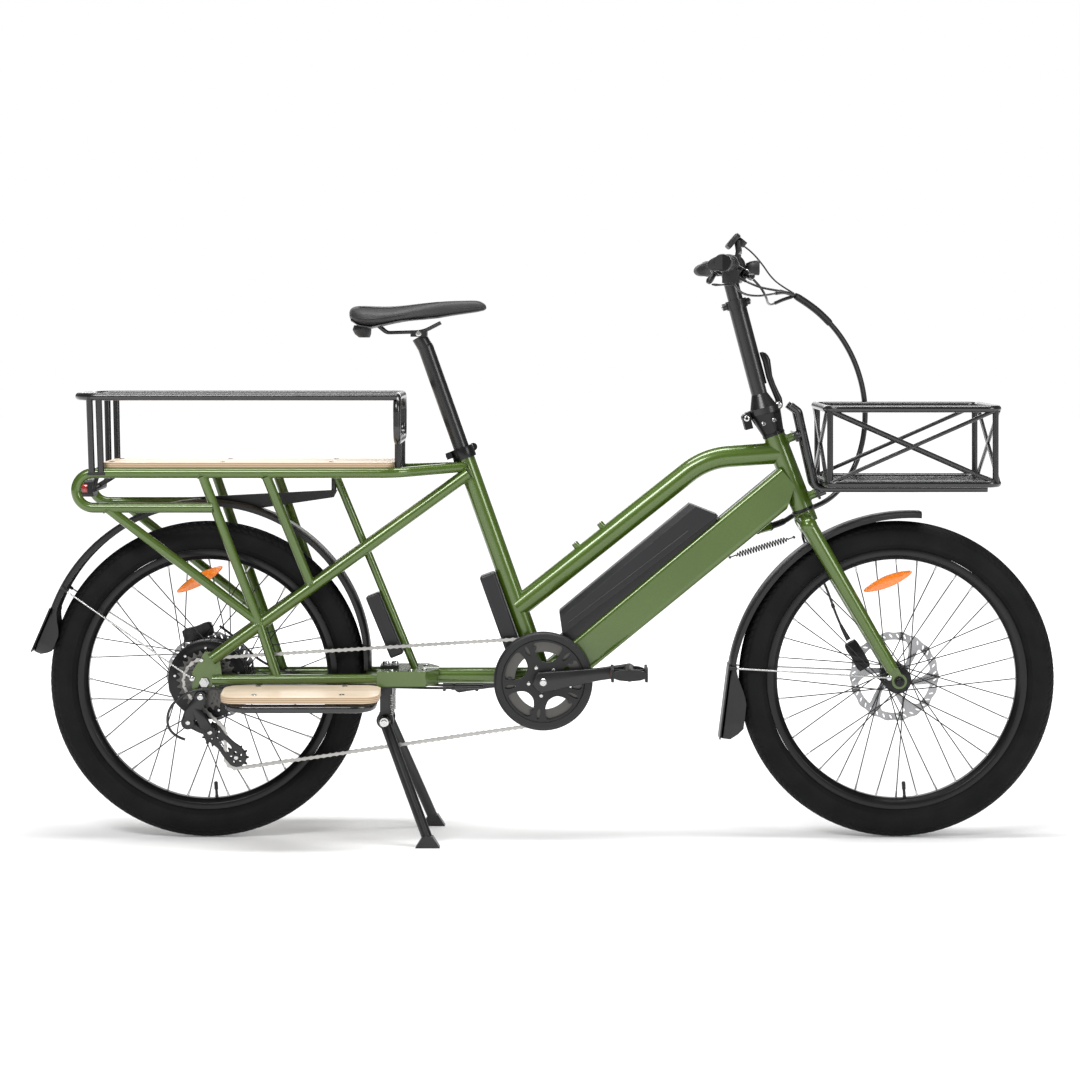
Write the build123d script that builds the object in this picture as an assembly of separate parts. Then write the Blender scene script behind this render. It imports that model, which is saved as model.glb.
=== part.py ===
from build123d import *
import math
import os

# Cargo bicycle with a long rear rack, a frame-mounted front basket and a hub motor.
# Millimetres. +X points forward, +Y to the rider's left, +Z up. The origin is on the
# ground, in the mid-plane, half way along the bicycle.

# ---------------------------------------------------------------- driving dimensions
TYRE_RADIUS = 314.5
TYRE_SECTION = 30.5
BEAD_RADIUS = 259.0
RIM_RADIUS = 238.0
REAR_X = -668.0
WHEELBASE = 1372.0
FRONT_X = REAR_X + WHEELBASE
AXLE_Z = TYRE_RADIUS
REAR_AXLE = Vector(REAR_X, 0, AXLE_Z)
FRONT_AXLE = Vector(FRONT_X, 0, AXLE_Z)
BOTTOM_BRACKET = Vector(0, 0, 315)

SEAT_LEAN = 19.6
SEAT_TUBE_LENGTH = 478.0
SEAT_TUBE_R = 19.0
SEATPOST_R = 15.8
HEAD_LEAN = 21.3
HEAD_TUBE_LENGTH = 156.0
HEAD_TUBE_R = 22.0
STEERER_R = 14.3
POST_LEAN = 14.8
POST_R = 18.0
RISER_R = 15.0
BAR_R = 11.1
BAR_HALF = 322.0
RUN_FIT = 0.05

DOWN_TUBE_HALF = 31.0
TOP_TUBE_R = 22.0
RACK_HALF = 110.0
RACK_R = 10.0
RAIL_Z = 729.0
LOW_RAIL_Z = 661.0
STAY_R = 12.5
CHAINSTAY_Z = 321.0
CHAINSTAY_Y = 72.0

CHAIN_Y = -45.2
PITCH = 12.7
CHAINRING_TEETH = 42
DRIVE_COG_TEETH = 22
JOCKEY_TEETH = 11
COG_TEETH = [28, 24, 22, 20, 18, 16, 14]
COG_STEP = 4.6
JOCKEY_UPPER = Vector(-652, CHAIN_Y, 209)
JOCKEY_LOWER = Vector(-608, CHAIN_Y, 163)
CRANK_LENGTH = 170.0
CRANK_ANGLE = 8.0
ROTOR_R = 90.0
FRONT_ROTOR_Y = 38.0
REAR_ROTOR_Y = 46.0
SPOKES = 36

STAND_PIVOT = Vector(-314, 0, 235)
STAND_FOOT_X = -223.0
STAND_FOOT_Y = 140.0
STAND_LEG_R = 10.5

BASKET_BACK, BASKET_FRONT = 547.0, 893.0
BASKET_FLOOR, BASKET_RIM = 710.0, 856.0
BASKET_HALF = 170.0
DECK_Z = 739.2
DECK_THICK = 10.0
GUARD_Z = 879.0
GUARD_HALF = 125.0


def lean(degrees):
    """Unit vector that points up and leans back by the given angle."""
    angle = math.radians(degrees)
    return Vector(-math.sin(angle), 0, math.cos(angle))


def square_to(direction):
    """Unit vector square to a leaning axis, in the mid-plane, pointing forward."""
    return Vector(direction.Z, 0, -direction.X)


SEAT_UP = lean(SEAT_LEAN)
SEAT_TOP = BOTTOM_BRACKET + SEAT_UP * SEAT_TUBE_LENGTH
HEAD_UP = lean(HEAD_LEAN)
HEAD_BOTTOM = Vector(517, 0, 654)
HEAD_TOP = HEAD_BOTTOM + HEAD_UP * HEAD_TUBE_LENGTH
POST_UP = lean(POST_LEAN)
POST_FORE = square_to(POST_UP)
FOLD_PLANE = HEAD_TOP + HEAD_UP * 47.5
FOLD_HINGE = FOLD_PLANE - POST_FORE * 40
LATCH_PIVOT = FOLD_PLANE + POST_FORE * 29 + POST_UP * 9.5
POST_TOP = FOLD_PLANE + POST_UP * 232
BAR_CENTRE = POST_TOP + POST_UP * 68 + POST_FORE * 15


# ------------------------------------------------------------------------- helpers
ON_BASE = (Align.CENTER, Align.CENTER, Align.MIN)


def along(a, b):
    """Plane at a, with its normal towards b and its x direction kept in the mid-plane."""
    direction = Vector(b) - Vector(a)
    return Plane(origin=Vector(a), z_dir=direction)


def rod(a, b, radius, end_radius=None):
    """Round bar, or a taper, from a to b."""
    length = (Vector(b) - Vector(a)).length
    if end_radius is None:
        return along(a, b) * Cylinder(radius, length, align=ON_BASE)
    return along(a, b) * Cone(radius, end_radius, length, align=ON_BASE)


def ring(a, b, outer, inner):
    """Hollow round bar from a to b."""
    return rod(a, b, outer) - rod(a, b, inner)


def ball(centre, radius):
    return Pos(*Vector(centre)) * Sphere(radius)


def cross_rod(x, z, y0, y1, radius):
    """Round bar that runs across the bicycle, from y0 to y1."""
    return rod((x, y0, z), (x, y1, z), radius)


def box(x0, x1, y0, y1, z0, z1):
    """Box between two corners."""
    centre = Pos((x0 + x1) / 2, (y0 + y1) / 2, (z0 + z1) / 2)
    return centre * Box(x1 - x0, y1 - y0, z1 - z0)


def bent(points, radii, radius):
    """Round tube along straight runs joined by tangent arcs."""
    path = FilletPolyline(*[Vector(p) for p in points], radius=radii)
    section = Plane(origin=path @ 0, z_dir=path % 0) * Circle(radius)
    return sweep(section, path=path)


def corner_radii(points):
    """Fillet radii that share each corner's shorter run."""
    radii = []
    for a, b, c in zip(points, points[1:], points[2:]):
        first, second = Vector(b) - Vector(a), Vector(c) - Vector(b)
        turn = math.radians(first.get_angle(second))
        shorter = min(first.length, second.length)
        radii.append(0.45 * shorter / math.tan(turn / 2))
    return radii


def bent_runs(points, radii, radius):
    """The same bent tube as separate straight runs and elbows that meet face to face."""
    path = FilletPolyline(*[Vector(p) for p in points], radius=radii)
    runs = []
    for edge in path.edges():
        section = Plane(origin=edge @ 0, z_dir=edge % 0) * Circle(radius)
        runs.append(sweep(section, path=edge))
    return runs


def hoop(corners, corner_radius, radius):
    """Closed four-cornered ring of round tube, in straight runs and elbows."""
    a, b, c, d = [Vector(p) for p in corners]
    first_mid, last_mid = (a + d) * 0.5, (b + c) * 0.5
    halves = [[first_mid, a, b, last_mid], [last_mid, c, d, first_mid]]
    runs = []
    for half in halves:
        runs += bent_runs(half, [corner_radius] * 2, radius)
    return runs


def side_plate(points, y0, y1):
    """Plate cut to an outline of (x, z) points, from y0 to y1."""
    outline = Polyline(*[(x, 0, z) for x, z in points], close=True)
    face = make_face(outline)
    solid = extrude(face, amount=y1 - y0, dir=(0, 1, 0))
    return Pos(0, y0, 0) * solid


def turned(points, centre):
    """Body turned about a Y axis through centre from (radius, y) points."""
    outline = Polyline(*[(r, y, 0) for r, y in points], close=True)
    solid = revolve(make_face(outline), axis=Axis.Y, revolution_arc=360)
    return Pos(*Vector(centre)) * solid


def boxes_meet(p, q):
    """Whether two bounding boxes overlap."""
    apart = p.max.X < q.min.X or q.max.X < p.min.X
    apart = apart or p.max.Y < q.min.Y or q.max.Y < p.min.Y
    return not (apart or p.max.Z < q.min.Z or q.max.Z < p.min.Z)


def touch(a, b):
    return boxes_meet(a.bounding_box(), b.bounding_box())


def fitted(shapes, around=()):
    """Solids of the shapes, each cut back to meet the ones before it."""
    placed = [(other, other.bounding_box()) for other in around]
    result = []
    for shape in shapes:
        space = shape.bounding_box()
        for other, taken in placed:
            if boxes_meet(space, taken):
                shape = shape - other
        pieces = [s for s in shape.solids() if s.volume > 5]
        placed += [(s, s.bounding_box()) for s in pieces]
        result += pieces
    return result


def drilled(solids, bores):
    """Solids with each bore taken out of the ones that it meets."""
    result = []
    for solid in solids:
        for bore in bores:
            if touch(solid, bore):
                solid = solid - bore
        result += [s for s in solid.solids() if s.volume > 5]
    return result


def toothed(teeth, thickness, centre, bore):
    """Sprocket on a Y axis, with short teeth about its pitch circle."""
    pitch_radius = teeth * PITCH / (2 * math.pi)
    step = 2 * math.pi / teeth
    tooth = [(-0.5, -3.2), (-0.28, -3.2), (-0.12, 3.0), (0.12, 3.0), (0.28, -3.2)]
    points = []
    for i in range(teeth):
        for part, height in tooth:
            angle = (i + part) * step
            radius = pitch_radius + height
            points.append((radius * math.cos(angle), 0, radius * math.sin(angle)))
    face = make_face(Polyline(*points, close=True))
    disc = Pos(0, -thickness / 2, 0) * extrude(face, amount=thickness, dir=(0, 1, 0))
    disc = disc - cross_rod(0, 0, -thickness, thickness, bore)
    return Pos(*Vector(centre)) * disc


def arc_plate(centre, outer, inner, start, end, y0, y1):
    """Part of a flat ring about a Y axis, from one angle to another, in degrees."""
    x, z = centre

    def at(radius, angle):
        a = math.radians(angle)
        return Vector(x + radius * math.cos(a), y0, z + radius * math.sin(a))

    middle = (start + end) / 2
    edges = [
        ThreePointArc(at(outer, start), at(outer, middle), at(outer, end)),
        Line(at(outer, end), at(inner, end)),
        ThreePointArc(at(inner, end), at(inner, middle), at(inner, start)),
        Line(at(inner, start), at(outer, start)),
    ]
    return extrude(make_face(edges), amount=y1 - y0, dir=(0, 1, 0))


# ---------------------------------------------------------------------------- frame
def down_tube():
    """Deep box tube from the bottom bracket to the head tube."""
    outline = [(20, 300), (98, 337), (484, 653), (500, 700), (470, 736), (57, 392), (-5, 340)]
    tube = side_plate(outline, -DOWN_TUBE_HALF, DOWN_TUBE_HALF)
    long_edges = [e for e in tube.edges() if abs(e.tangent_at(0).Y) < 0.01 and e.length > 300]
    return fillet(long_edges, 10)


def top_tube():
    points = [(-52, 0, 455), (324, 0, 754), (476, 0, 765)]
    return bent_runs(points, [150], TOP_TUBE_R)


def bottle_boss(x, z):
    """Threaded boss on the upper side of the top tube."""
    up = Vector(-0.624, 0, 0.781)
    foot = Vector(x, 0, z) - up * 8
    return rod(foot, foot + up * 16, 7)


CABLE_GLAND = Vector(452, 22, 616)
GLAND_AXIS = Vector(-28, -24, -6).normalized()
BOSS_BORE_R = 2.5
BOSSES = [(117, 618), (67, 578)]


def seatpost_bore():
    return rod(BOTTOM_BRACKET + SEAT_UP * 120, SEAT_TOP + SEAT_UP * 5, SEATPOST_R + RUN_FIT)


def main_frame():
    shell = cross_rod(0, 315, -36.5, 36.5, 24)
    head = rod(HEAD_BOTTOM, HEAD_TOP, HEAD_TUBE_R)
    seat = rod(BOTTOM_BRACKET, SEAT_TOP, SEAT_TUBE_R)
    centre_stay = rod((-240, 0, CHAINSTAY_Z), (0, 0, CHAINSTAY_Z), 16)
    fore = square_to(HEAD_UP)
    shapes = [shell, head, seat, down_tube()] + top_tube() + [centre_stay]
    for height in (18, 140):
        foot = HEAD_BOTTOM + HEAD_UP * height
        shapes.append(rod(foot, foot + fore * 34, 9))
    shapes += [bottle_boss(x, z) for x, z in BOSSES]
    shapes.append(rod(CABLE_GLAND, CABLE_GLAND + GLAND_AXIS * 34, 9))
    solids = fitted(shapes)
    steerer_bore = rod(HEAD_BOTTOM - HEAD_UP, HEAD_TOP + HEAD_UP, 17)
    bracket_bore = cross_rod(0, 315, -40, 40, 17)
    up = Vector(-0.624, 0, 0.781)
    bores = [steerer_bore, seatpost_bore(), bracket_bore]
    for x, z in BOSSES:
        centre = Vector(x, 0, z)
        bores.append(rod(centre - up * 6, centre + up * 10, BOSS_BORE_R))
    return drilled(solids, bores)


def rear_side(side):
    """Tubes of one side of the rear rack and stays."""

    def p(x, y, z):
        return Vector(x, y * side, z)

    wide, stay_y = RACK_HALF, 70
    loop_x, loop_r = -882, 34
    lower_r = 9.5
    rail_points = [p(-648, wide, LOW_RAIL_Z), p(loop_x - loop_r, wide, LOW_RAIL_Z)]
    rail_points += [p(loop_x - loop_r, wide, RAIL_Z), p(-290, wide, RAIL_Z), p(-158, 14, 737)]
    rail = bent_runs(rail_points, [loop_r - 0.01, loop_r - 0.01, 90], RACK_R)
    seat_stay = rod(p(-150, 18, 724), p(-654, 77, 360), STAY_R)
    chain_stay = rod(p(-652, CHAINSTAY_Y + 5, 320), p(-320, CHAINSTAY_Y, CHAINSTAY_Z), RACK_R)
    first = rod(p(-852, wide, LOW_RAIL_Z - 3), p(-566, stay_y, 436), lower_r)
    second = rod(p(-668, wide, RAIL_Z - 6), p(-560, stay_y, 430), lower_r)
    second_low = rod(p(-560, stay_y, 430), p(-526, CHAINSTAY_Y, 326), lower_r)
    third = rod(p(-543, wide, RAIL_Z - 6), p(-459, 55, 503), lower_r)
    plate = [(-692, 300), (-640, 302), (-634, 330), (-640, 374), (-668, 374), (-692, 336)]
    inner, outer = (67, 74) if side > 0 else (-74, -67)
    dropout = side_plate(plate, inner, outer)
    return rail + [seat_stay, chain_stay, dropout, first, second, second_low, third]


def yoke():
    """Box that joins the chainstays to the centre stay, in front of the rear tyre."""
    outline = [(-328, -84), (-232, -84), (-208, -30), (-208, 30), (-232, 84), (-328, 84)]
    outline += [(-328, 40), (-316, 30), (-316, -30), (-328, -40)]
    face = make_face(Polyline(*[(x, y, 307) for x, y in outline], close=True))
    return extrude(face, amount=29, dir=(0, 0, 1))


def rear_frame(around):
    shapes = [yoke()]
    for side in (-1, 1):
        shapes += rear_side(side)
    for x in (-850, -632, -418):
        shapes.append(cross_rod(x, RAIL_Z, -RACK_HALF, RACK_HALF, 7.5))
    brace_top, brace_foot = Vector(-418, 0, RAIL_Z), Vector(-256, 0, 336)
    shapes.append(rod(brace_top, brace_foot, 8))
    shapes.append(box(-262, -178, -34, 34, 733, 736.5))
    axle_hole = cross_rod(REAR_X, AXLE_Z, -90, 90, 6.0)
    return drilled(fitted(shapes, around), [axle_hole, seatpost_bore()])


def deck():
    """Plywood rack deck with rounded corners."""
    plate = box(-868, -294, -110, 110, DECK_Z, DECK_Z + DECK_THICK)
    return [fillet(plate.edges().filter_by(Axis.Z), 22)]


def guard_rail():
    """Bent hand rail round the rack deck, with its rear posts and front hoop."""
    r = 7.5
    top = [(-286, -GUARD_HALF, GUARD_Z), (-914, -GUARD_HALF, GUARD_Z)]
    top += [(-914, GUARD_HALF, GUARD_Z), (-286, GUARD_HALF, GUARD_Z)]
    shapes = bent_runs(top, [45, 45], r)
    low = GUARD_Z - 88
    front = [(-286, GUARD_HALF, GUARD_Z), (-286, GUARD_HALF, low)]
    front += [(-286, -GUARD_HALF, low), (-286, -GUARD_HALF, GUARD_Z)]
    shapes += hoop(front, 30, r)
    for side in (-1, 1):
        for x in (-884, -866):
            shapes.append(rod((x, side * 118, 731), (x - 4, side * (GUARD_HALF - 1), GUARD_Z), 6.5))
        shapes.append(rod((-286, side * 88, 731), (-286, side * 88, low), 6.5))
    for side in (-1, 1):
        shapes.append(box(-892, -858, side * 117 - 5, side * 117 + 5, 725, 731))
        shapes.append(box(-298, -274, side * 88 - 10, side * 88 + 10, 727, 731))
    return shapes


RUN_TILT = 5.0


def tilted(shape, side):
    """Turn a running board piece so that its outer edge sits a little lower."""
    hinge = Pos(0, side * 82, 310)
    return hinge * Rot(X=-side * RUN_TILT) * hinge.inverse() * shape


def running_board_frames():
    shapes = []
    for side in (-1, 1):
        y0, y1 = side * 86, side * 196
        corners = [(-612, y0, 286), (-612, y1, 286), (-332, y1, 286), (-332, y0, 286)]
        shapes += [tilted(half, side) for half in hoop(corners, 40, 8.5)]
        for x in (-560, -390):
            shapes.append(rod((x, side * 71, 309), (x, side * 77, 286), 6))
    return shapes


def running_boards():
    boards = []
    for side in (-1, 1):
        low, high = sorted((side * 82, side * 206))
        plate = box(-626, -318, low, high, 297.5, 310)
        plate = fillet(plate.edges().filter_by(Axis.Z), 34)
        boards.append(tilted(plate, side))
    return boards


# --------------------------------------------------------------------------- fenders
def fender(centre, radius, start, end):
    """Arched mudguard: a thin channel turned about a Y axis."""
    half, skirt, thick = 33, 13, 2.5
    outer = [(radius - skirt, -half), (radius - 5, -half), (radius, -half + 9)]
    outer += [(radius, half - 9), (radius - 5, half), (radius - skirt, half)]
    inner = [(radius - skirt, half - thick), (radius - 6, half - thick), (radius - thick, half - 10)]
    inner += [(radius - thick, -half + 10), (radius - 6, -half + thick)]
    inner += [(radius - skirt, -half + thick)]
    face = make_face(Polyline(*[(r, y, 0) for r, y in outer + inner], close=True))
    face = face.rotate(Axis.Y, -start)
    arch = revolve(face, axis=Axis.Y, revolution_arc=-(end - start))
    return Pos(centre.X, 0, centre.Z) * arch


REAR_FENDER_CENTRE = Vector(-671, 0, 345)
REAR_FENDER_R = 328.0
FRONT_FENDER_CENTRE = Vector(733, 0, 280)
FRONT_FENDER_R = 369.0


def flap(centre, radius, angle, tip):
    """Soft flap that carries a mudguard on past its end."""
    a = math.radians(angle)
    end = Vector(centre.X + radius * math.cos(a), 0, centre.Z + radius * math.sin(a))
    run = tip - end
    out = Vector(math.cos(a), 0, math.sin(a))
    start = end - out * 1.5 + run.normalized() * 0.3
    corners = [start, start + out * 3, tip + out * 2.4, tip]
    plate = side_plate([(c.X, c.Z) for c in corners], -34, 34)
    return plate


def stay_wires(fender_point, axle, inner_y, hub_z):
    """Stay from each side of a mudguard to the axle."""
    wires = []
    for side in (-1, 1):
        upper = Vector(fender_point.X, side * 35, fender_point.Z)
        wires.append(rod(upper, (axle, side * inner_y, hub_z), 1.6))
    return wires


def rear_fender():
    shapes = [fender(REAR_FENDER_CENTRE, REAR_FENDER_R, -2, 160)]
    shapes.append(flap(REAR_FENDER_CENTRE, REAR_FENDER_R, 160, Vector(-1016, 0, 370)))
    shapes += stay_wires(Vector(-955, 0, 497), -692, 77, 322)
    shapes += [cross_rod(-955, 497, -36.5, -33.2, 4), cross_rod(-955, 497, 33.2, 36.5, 4)]
    shapes.append(rod((-418, 0, 690), (-418, 0, 721), 5))
    shapes.append(side_plate([(-700, 676), (-560, 655), (-418, 676), (-411, 690), (-425, 690)], -6, 6))
    return shapes


def front_fender():
    shapes = [fender(FRONT_FENDER_CENTRE, FRONT_FENDER_R, 87, 170)]
    shapes.append(flap(FRONT_FENDER_CENTRE, FRONT_FENDER_R, 170, Vector(352, 0, 196)))
    shapes += stay_wires(Vector(372, 0, 338), FRONT_X - 20, 61, 322)
    shapes += [cross_rod(372, 338, -36.5, -33.2, 4), cross_rod(372, 338, 33.2, 36.5, 4)]
    return shapes


# ---------------------------------------------------------------------------- wheels
def tyre(centre):
    """Hollow tyre open at its bead, and the valve stem of the tube in it."""
    middle = TYRE_RADIUS - TYRE_SECTION
    section = Pos(middle, 0, 0) * Circle(TYRE_SECTION)
    section -= Pos(middle, 0, 0) * Circle(TYRE_SECTION - 4.5)
    section -= Pos(BEAD_RADIUS - 25, 0, 0) * Rectangle(50, 80)
    casing = Pos(*centre) * revolve(section, axis=Axis.Y, revolution_arc=360)
    angle = math.radians(-90 + 4)
    out = Vector(math.cos(angle), 0, math.sin(angle))
    valve = rod(centre + out * 219, centre + out * 256, 2.8)
    return [casing, valve]


def rim(centre):
    """Double-walled rim with a tyre well and a valve hole."""
    r, b = RIM_RADIUS, BEAD_RADIUS - 0.2
    points = [(r, -8), (r, 8), (r + 9, 17), (b, 18), (b, 14.5), (b - 7, 13), (b - 8, 0)]
    points += [(b - 7, -13), (b, -14.5), (b, -18), (r + 9, -17)]
    body = turned(points, centre)
    angle = math.radians(-90 + 4)
    out = Vector(math.cos(angle), 0, math.sin(angle))
    return [body - rod(centre + out * 225, centre + out * 262, 3.0)]


def spokes(centre, flange_r, outer_y, inner_y, crossing):
    """Tangent spokes laid alternately on the outer and the inner side of each flange."""
    shapes = []
    for i in range(SPOKES):
        side = 1 if i % 2 else -1
        lead = crossing if (i // 2) % 2 else -crossing
        rim_angle = 2 * math.pi * i / SPOKES
        hub_angle = rim_angle + math.radians(lead)
        y_hub = side * (outer_y if lead > 0 else inner_y)
        hub = Vector(flange_r * math.cos(hub_angle), y_hub, flange_r * math.sin(hub_angle))
        end = RIM_RADIUS - 0.3
        tip = Vector(end * math.cos(rim_angle), side * 5, end * math.sin(rim_angle))
        shapes.append(rod(centre + hub, centre + tip, 1.0))
    return shapes


def reflector(centre, angle, distance):
    """Long lens that lies along a chord of the wheel, on its right-hand side."""
    a = math.radians(angle)
    middle = Vector(math.cos(a), 0, math.sin(a)) * distance
    lens = Pos(*(centre + middle)) * Rot(Y=-angle + 90) * Pos(0, -17, 0) * Box(104, 6, 22)
    return fillet(lens.edges().filter_by(Axis.Y), 8)


def disc_rotor(centre, y):
    """Brake disc with a ring, six arms and a carrier."""
    x, z = centre.X, centre.Z
    y0, y1 = y - 1, y + 1
    track = cross_rod(x, z, y0, y1, ROTOR_R) - cross_rod(x, z, y0 - 1, y1 + 1, 71)
    carrier = cross_rod(x, z, y0, y1, 30) - cross_rod(x, z, y0 - 1, y1 + 1, 14)
    shapes = [track, carrier]
    for i in range(6):
        start, end = math.radians(60 * i), math.radians(60 * i + 22)
        inner = Vector(x + 26 * math.cos(start), y, z + 26 * math.sin(start))
        outer = Vector(x + 74 * math.cos(end), y, z + 74 * math.sin(end))
        arm = Plane(origin=inner, z_dir=outer - inner, x_dir=(0, 1, 0))
        length = (outer - inner).length
        shapes.append(arm * Box(2, 7, length, align=ON_BASE))
    disc = shapes[0]
    for shape in shapes[1:]:
        disc = disc + shape
    return disc.solids()


def front_hub():
    """Small hub shell with two spoke flanges and a disc seat."""
    c = FRONT_AXLE
    points = [(4.55, -50), (9, -50), (9, -36), (14, -34), (27, -33), (27, -30), (14, -27)]
    points += [(14, 27), (27, 30), (27, 33), (20, 34), (20, 36.8), (10, 36.8), (10, 50), (4.55, 50)]
    return [turned(points, c)]


def hub_motor():
    """Drum of the rear hub motor, with its flanges, freewheel boss and disc seat."""
    points = [(6.6, -34), (16, -34), (16, -30), (60, -29), (71, -26), (78, -25), (78, -19)]
    points += [(74, -18), (74, 18), (78, 19), (78, 25), (71, 26), (60, 30), (24, 34)]
    points += [(24, REAR_ROTOR_Y - 1.2), (12, REAR_ROTOR_Y - 1.2), (12, 60), (6.6, 60)]
    return [turned(points, REAR_AXLE)]


# ------------------------------------------------------------------------ drivetrain
def sprocket_stack():
    """Freewheel body with its sprockets, the largest next to the motor."""
    x, z = REAR_X, AXLE_Z
    body = cross_rod(x, z, -64.6, -34.4, 17) - cross_rod(x, z, -70, -30, 8)
    shapes = [body]
    for i, teeth in enumerate(COG_TEETH):
        y = -36 - COG_STEP * i
        shapes.append(toothed(teeth, 1.8, (x, y, z), 17))
    return shapes


def chainring():
    """Toothed ring between two round guards; the outer guard has open windows."""
    x, z = 0, 315
    shapes = [toothed(CHAINRING_TEETH, 2.4, (x, CHAIN_Y, z), 55)]
    outer = cross_rod(x, z, -56, -52, 98) - cross_rod(x, z, -60, -50, 20)
    for i in range(5):
        window = arc_plate((x, z), 74, 44, 72 * i + 12, 72 * i + 62, -60, -50)
        outer = outer - fillet(window.edges().filter_by(Axis.Y), 6)
    inner = cross_rod(x, z, -40, -38, 94) - cross_rod(x, z, -41, -37, 62)
    shapes += [outer, inner]
    for i in range(5):
        a = math.radians(72 * i + 1)
        px, pz = x + 64 * math.cos(a), z + 64 * math.sin(a)
        shapes.append(cross_rod(px, pz, -52, CHAIN_Y - 1.2, 5))
        shapes.append(cross_rod(px, pz, CHAIN_Y + 1.2, -40, 5))
    return shapes


def crank_point(side, y):
    """Pedal end of a crank: side -1 is the right crank, 1 the left."""
    a = math.radians(CRANK_ANGLE)
    reach = -side * CRANK_LENGTH
    return Vector(reach * math.cos(a), y, 315 + reach * math.sin(a))


def crankset():
    spindle = cross_rod(0, 315, -70, 82, 8.5)
    shapes = [spindle]
    for side, near, far in ((-1, -80, -66), (1, 66, 80)):
        middle = (near + far) / 2
        end = crank_point(side, middle)
        boss = cross_rod(0, 315, near, far, 19)
        tip = cross_rod(end.X, end.Z, near, far, 14)
        arm = Plane(origin=(0, middle, 315), z_dir=end - Vector(0, middle, 315), x_dir=(0, 1, 0))
        bar = arm * Box(far - near - 2, 26, CRANK_LENGTH, align=ON_BASE)
        pin_end = side * 118
        pin = cross_rod(end.X, end.Z, *sorted((side * 73, pin_end)), 5)
        shapes += [boss, tip, pin, bar]
    shapes.append(cross_rod(0, 315, -66, -56, 19))
    return fitted(shapes)


def pedal(side):
    """Platform pedal that turns on its pin."""
    centre = crank_point(side, side * 133)
    y0, y1 = sorted((side * 90, side * 178))
    x, z = centre.X, centre.Z
    body = box(x - 36, x + 36, y0 + 4, y1 - 4, z - 12, z + 12)
    body = fillet(body.edges().filter_by(Axis.Y), 6)
    barrel = cross_rod(x, z, y0, y1, 14)
    shapes = [barrel, body]
    bore = cross_rod(x, z, *sorted((side * 80, side * 119)), 5.05)
    return [s - bore for s in fitted(shapes)]


def jockey(centre):
    return [toothed(JOCKEY_TEETH, 2.0, centre, 4.05)]


def tangent(c0, r0, turn0, c1, r1, turn1):
    """Tangent points of a straight chain run from one circle to the next.

    turn is 1 where the chain goes round clockwise, seen from the right of the bicycle."""
    dx, dz = c1[0] - c0[0], c1[1] - c0[1]
    distance = math.hypot(dx, dz)
    heading = math.atan2(dz, dx)
    offset = math.asin((turn0 * r0 - turn1 * r1) / distance)
    normal = heading + math.pi / 2 - offset
    n = (math.cos(normal), math.sin(normal))
    a = (c0[0] + turn0 * r0 * n[0], c0[1] + turn0 * r0 * n[1])
    b = (c1[0] + turn1 * r1 * n[0], c1[1] + turn1 * r1 * n[1])
    return a, b


def chain():
    """Side plates of the closed chain, in runs and wraps, and pins across the free runs."""
    def pitch_r(teeth):
        return teeth * PITCH / (2 * math.pi)

    stops = [
        ((REAR_X, AXLE_Z), pitch_r(DRIVE_COG_TEETH), 1),
        ((0.0, 315.0), pitch_r(CHAINRING_TEETH), 1),
        ((JOCKEY_LOWER.X, JOCKEY_LOWER.Z), pitch_r(JOCKEY_TEETH), 1),
        ((JOCKEY_UPPER.X, JOCKEY_UPPER.Z), pitch_r(JOCKEY_TEETH), -1),
    ]
    runs = []
    for i, stop in enumerate(stops):
        following = stops[(i + 1) % len(stops)]
        runs.append(tangent(*stop, *following))
    shapes = []
    half_height, plate = 4.0, 1.1
    for y0 in (CHAIN_Y - 2.3 - plate, CHAIN_Y + 2.3):
        for i, stop in enumerate(stops):
            a, b = runs[i]
            start, finish = Vector(a[0], y0, a[1]), Vector(b[0], y0, b[1])
            length = (finish - start).length
            place = Plane(origin=start, z_dir=finish - start, x_dir=(0, 1, 0))
            lies = (Align.MIN, Align.CENTER, Align.MIN)
            shapes.append(place * Box(plate, 2 * half_height, length, align=lies))
            arrive, leave = runs[i - 1][1], a
            (cx, cz), radius, turn = stop
            first = math.degrees(math.atan2(arrive[1] - cz, arrive[0] - cx))
            last = math.degrees(math.atan2(leave[1] - cz, leave[0] - cx))
            sweep_angle = ((first - last) * turn) % 360
            end = first - turn * sweep_angle
            outer, inner = radius + half_height, radius - half_height
            shapes.append(arc_plate((cx, cz), outer, inner, first, end, y0, y0 + plate))
    for a, b in (runs[0], runs[1]):
        length = math.hypot(b[0] - a[0], b[1] - a[1])
        count = int((length - 60) / (PITCH * 4))
        for k in range(count):
            t = (30 + k * PITCH * 4) / length
            x, z = a[0] + (b[0] - a[0]) * t, a[1] + (b[1] - a[1]) * t
            shapes.append(cross_rod(x, z, CHAIN_Y - 2.3, CHAIN_Y + 2.3, 2))
    return shapes


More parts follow.
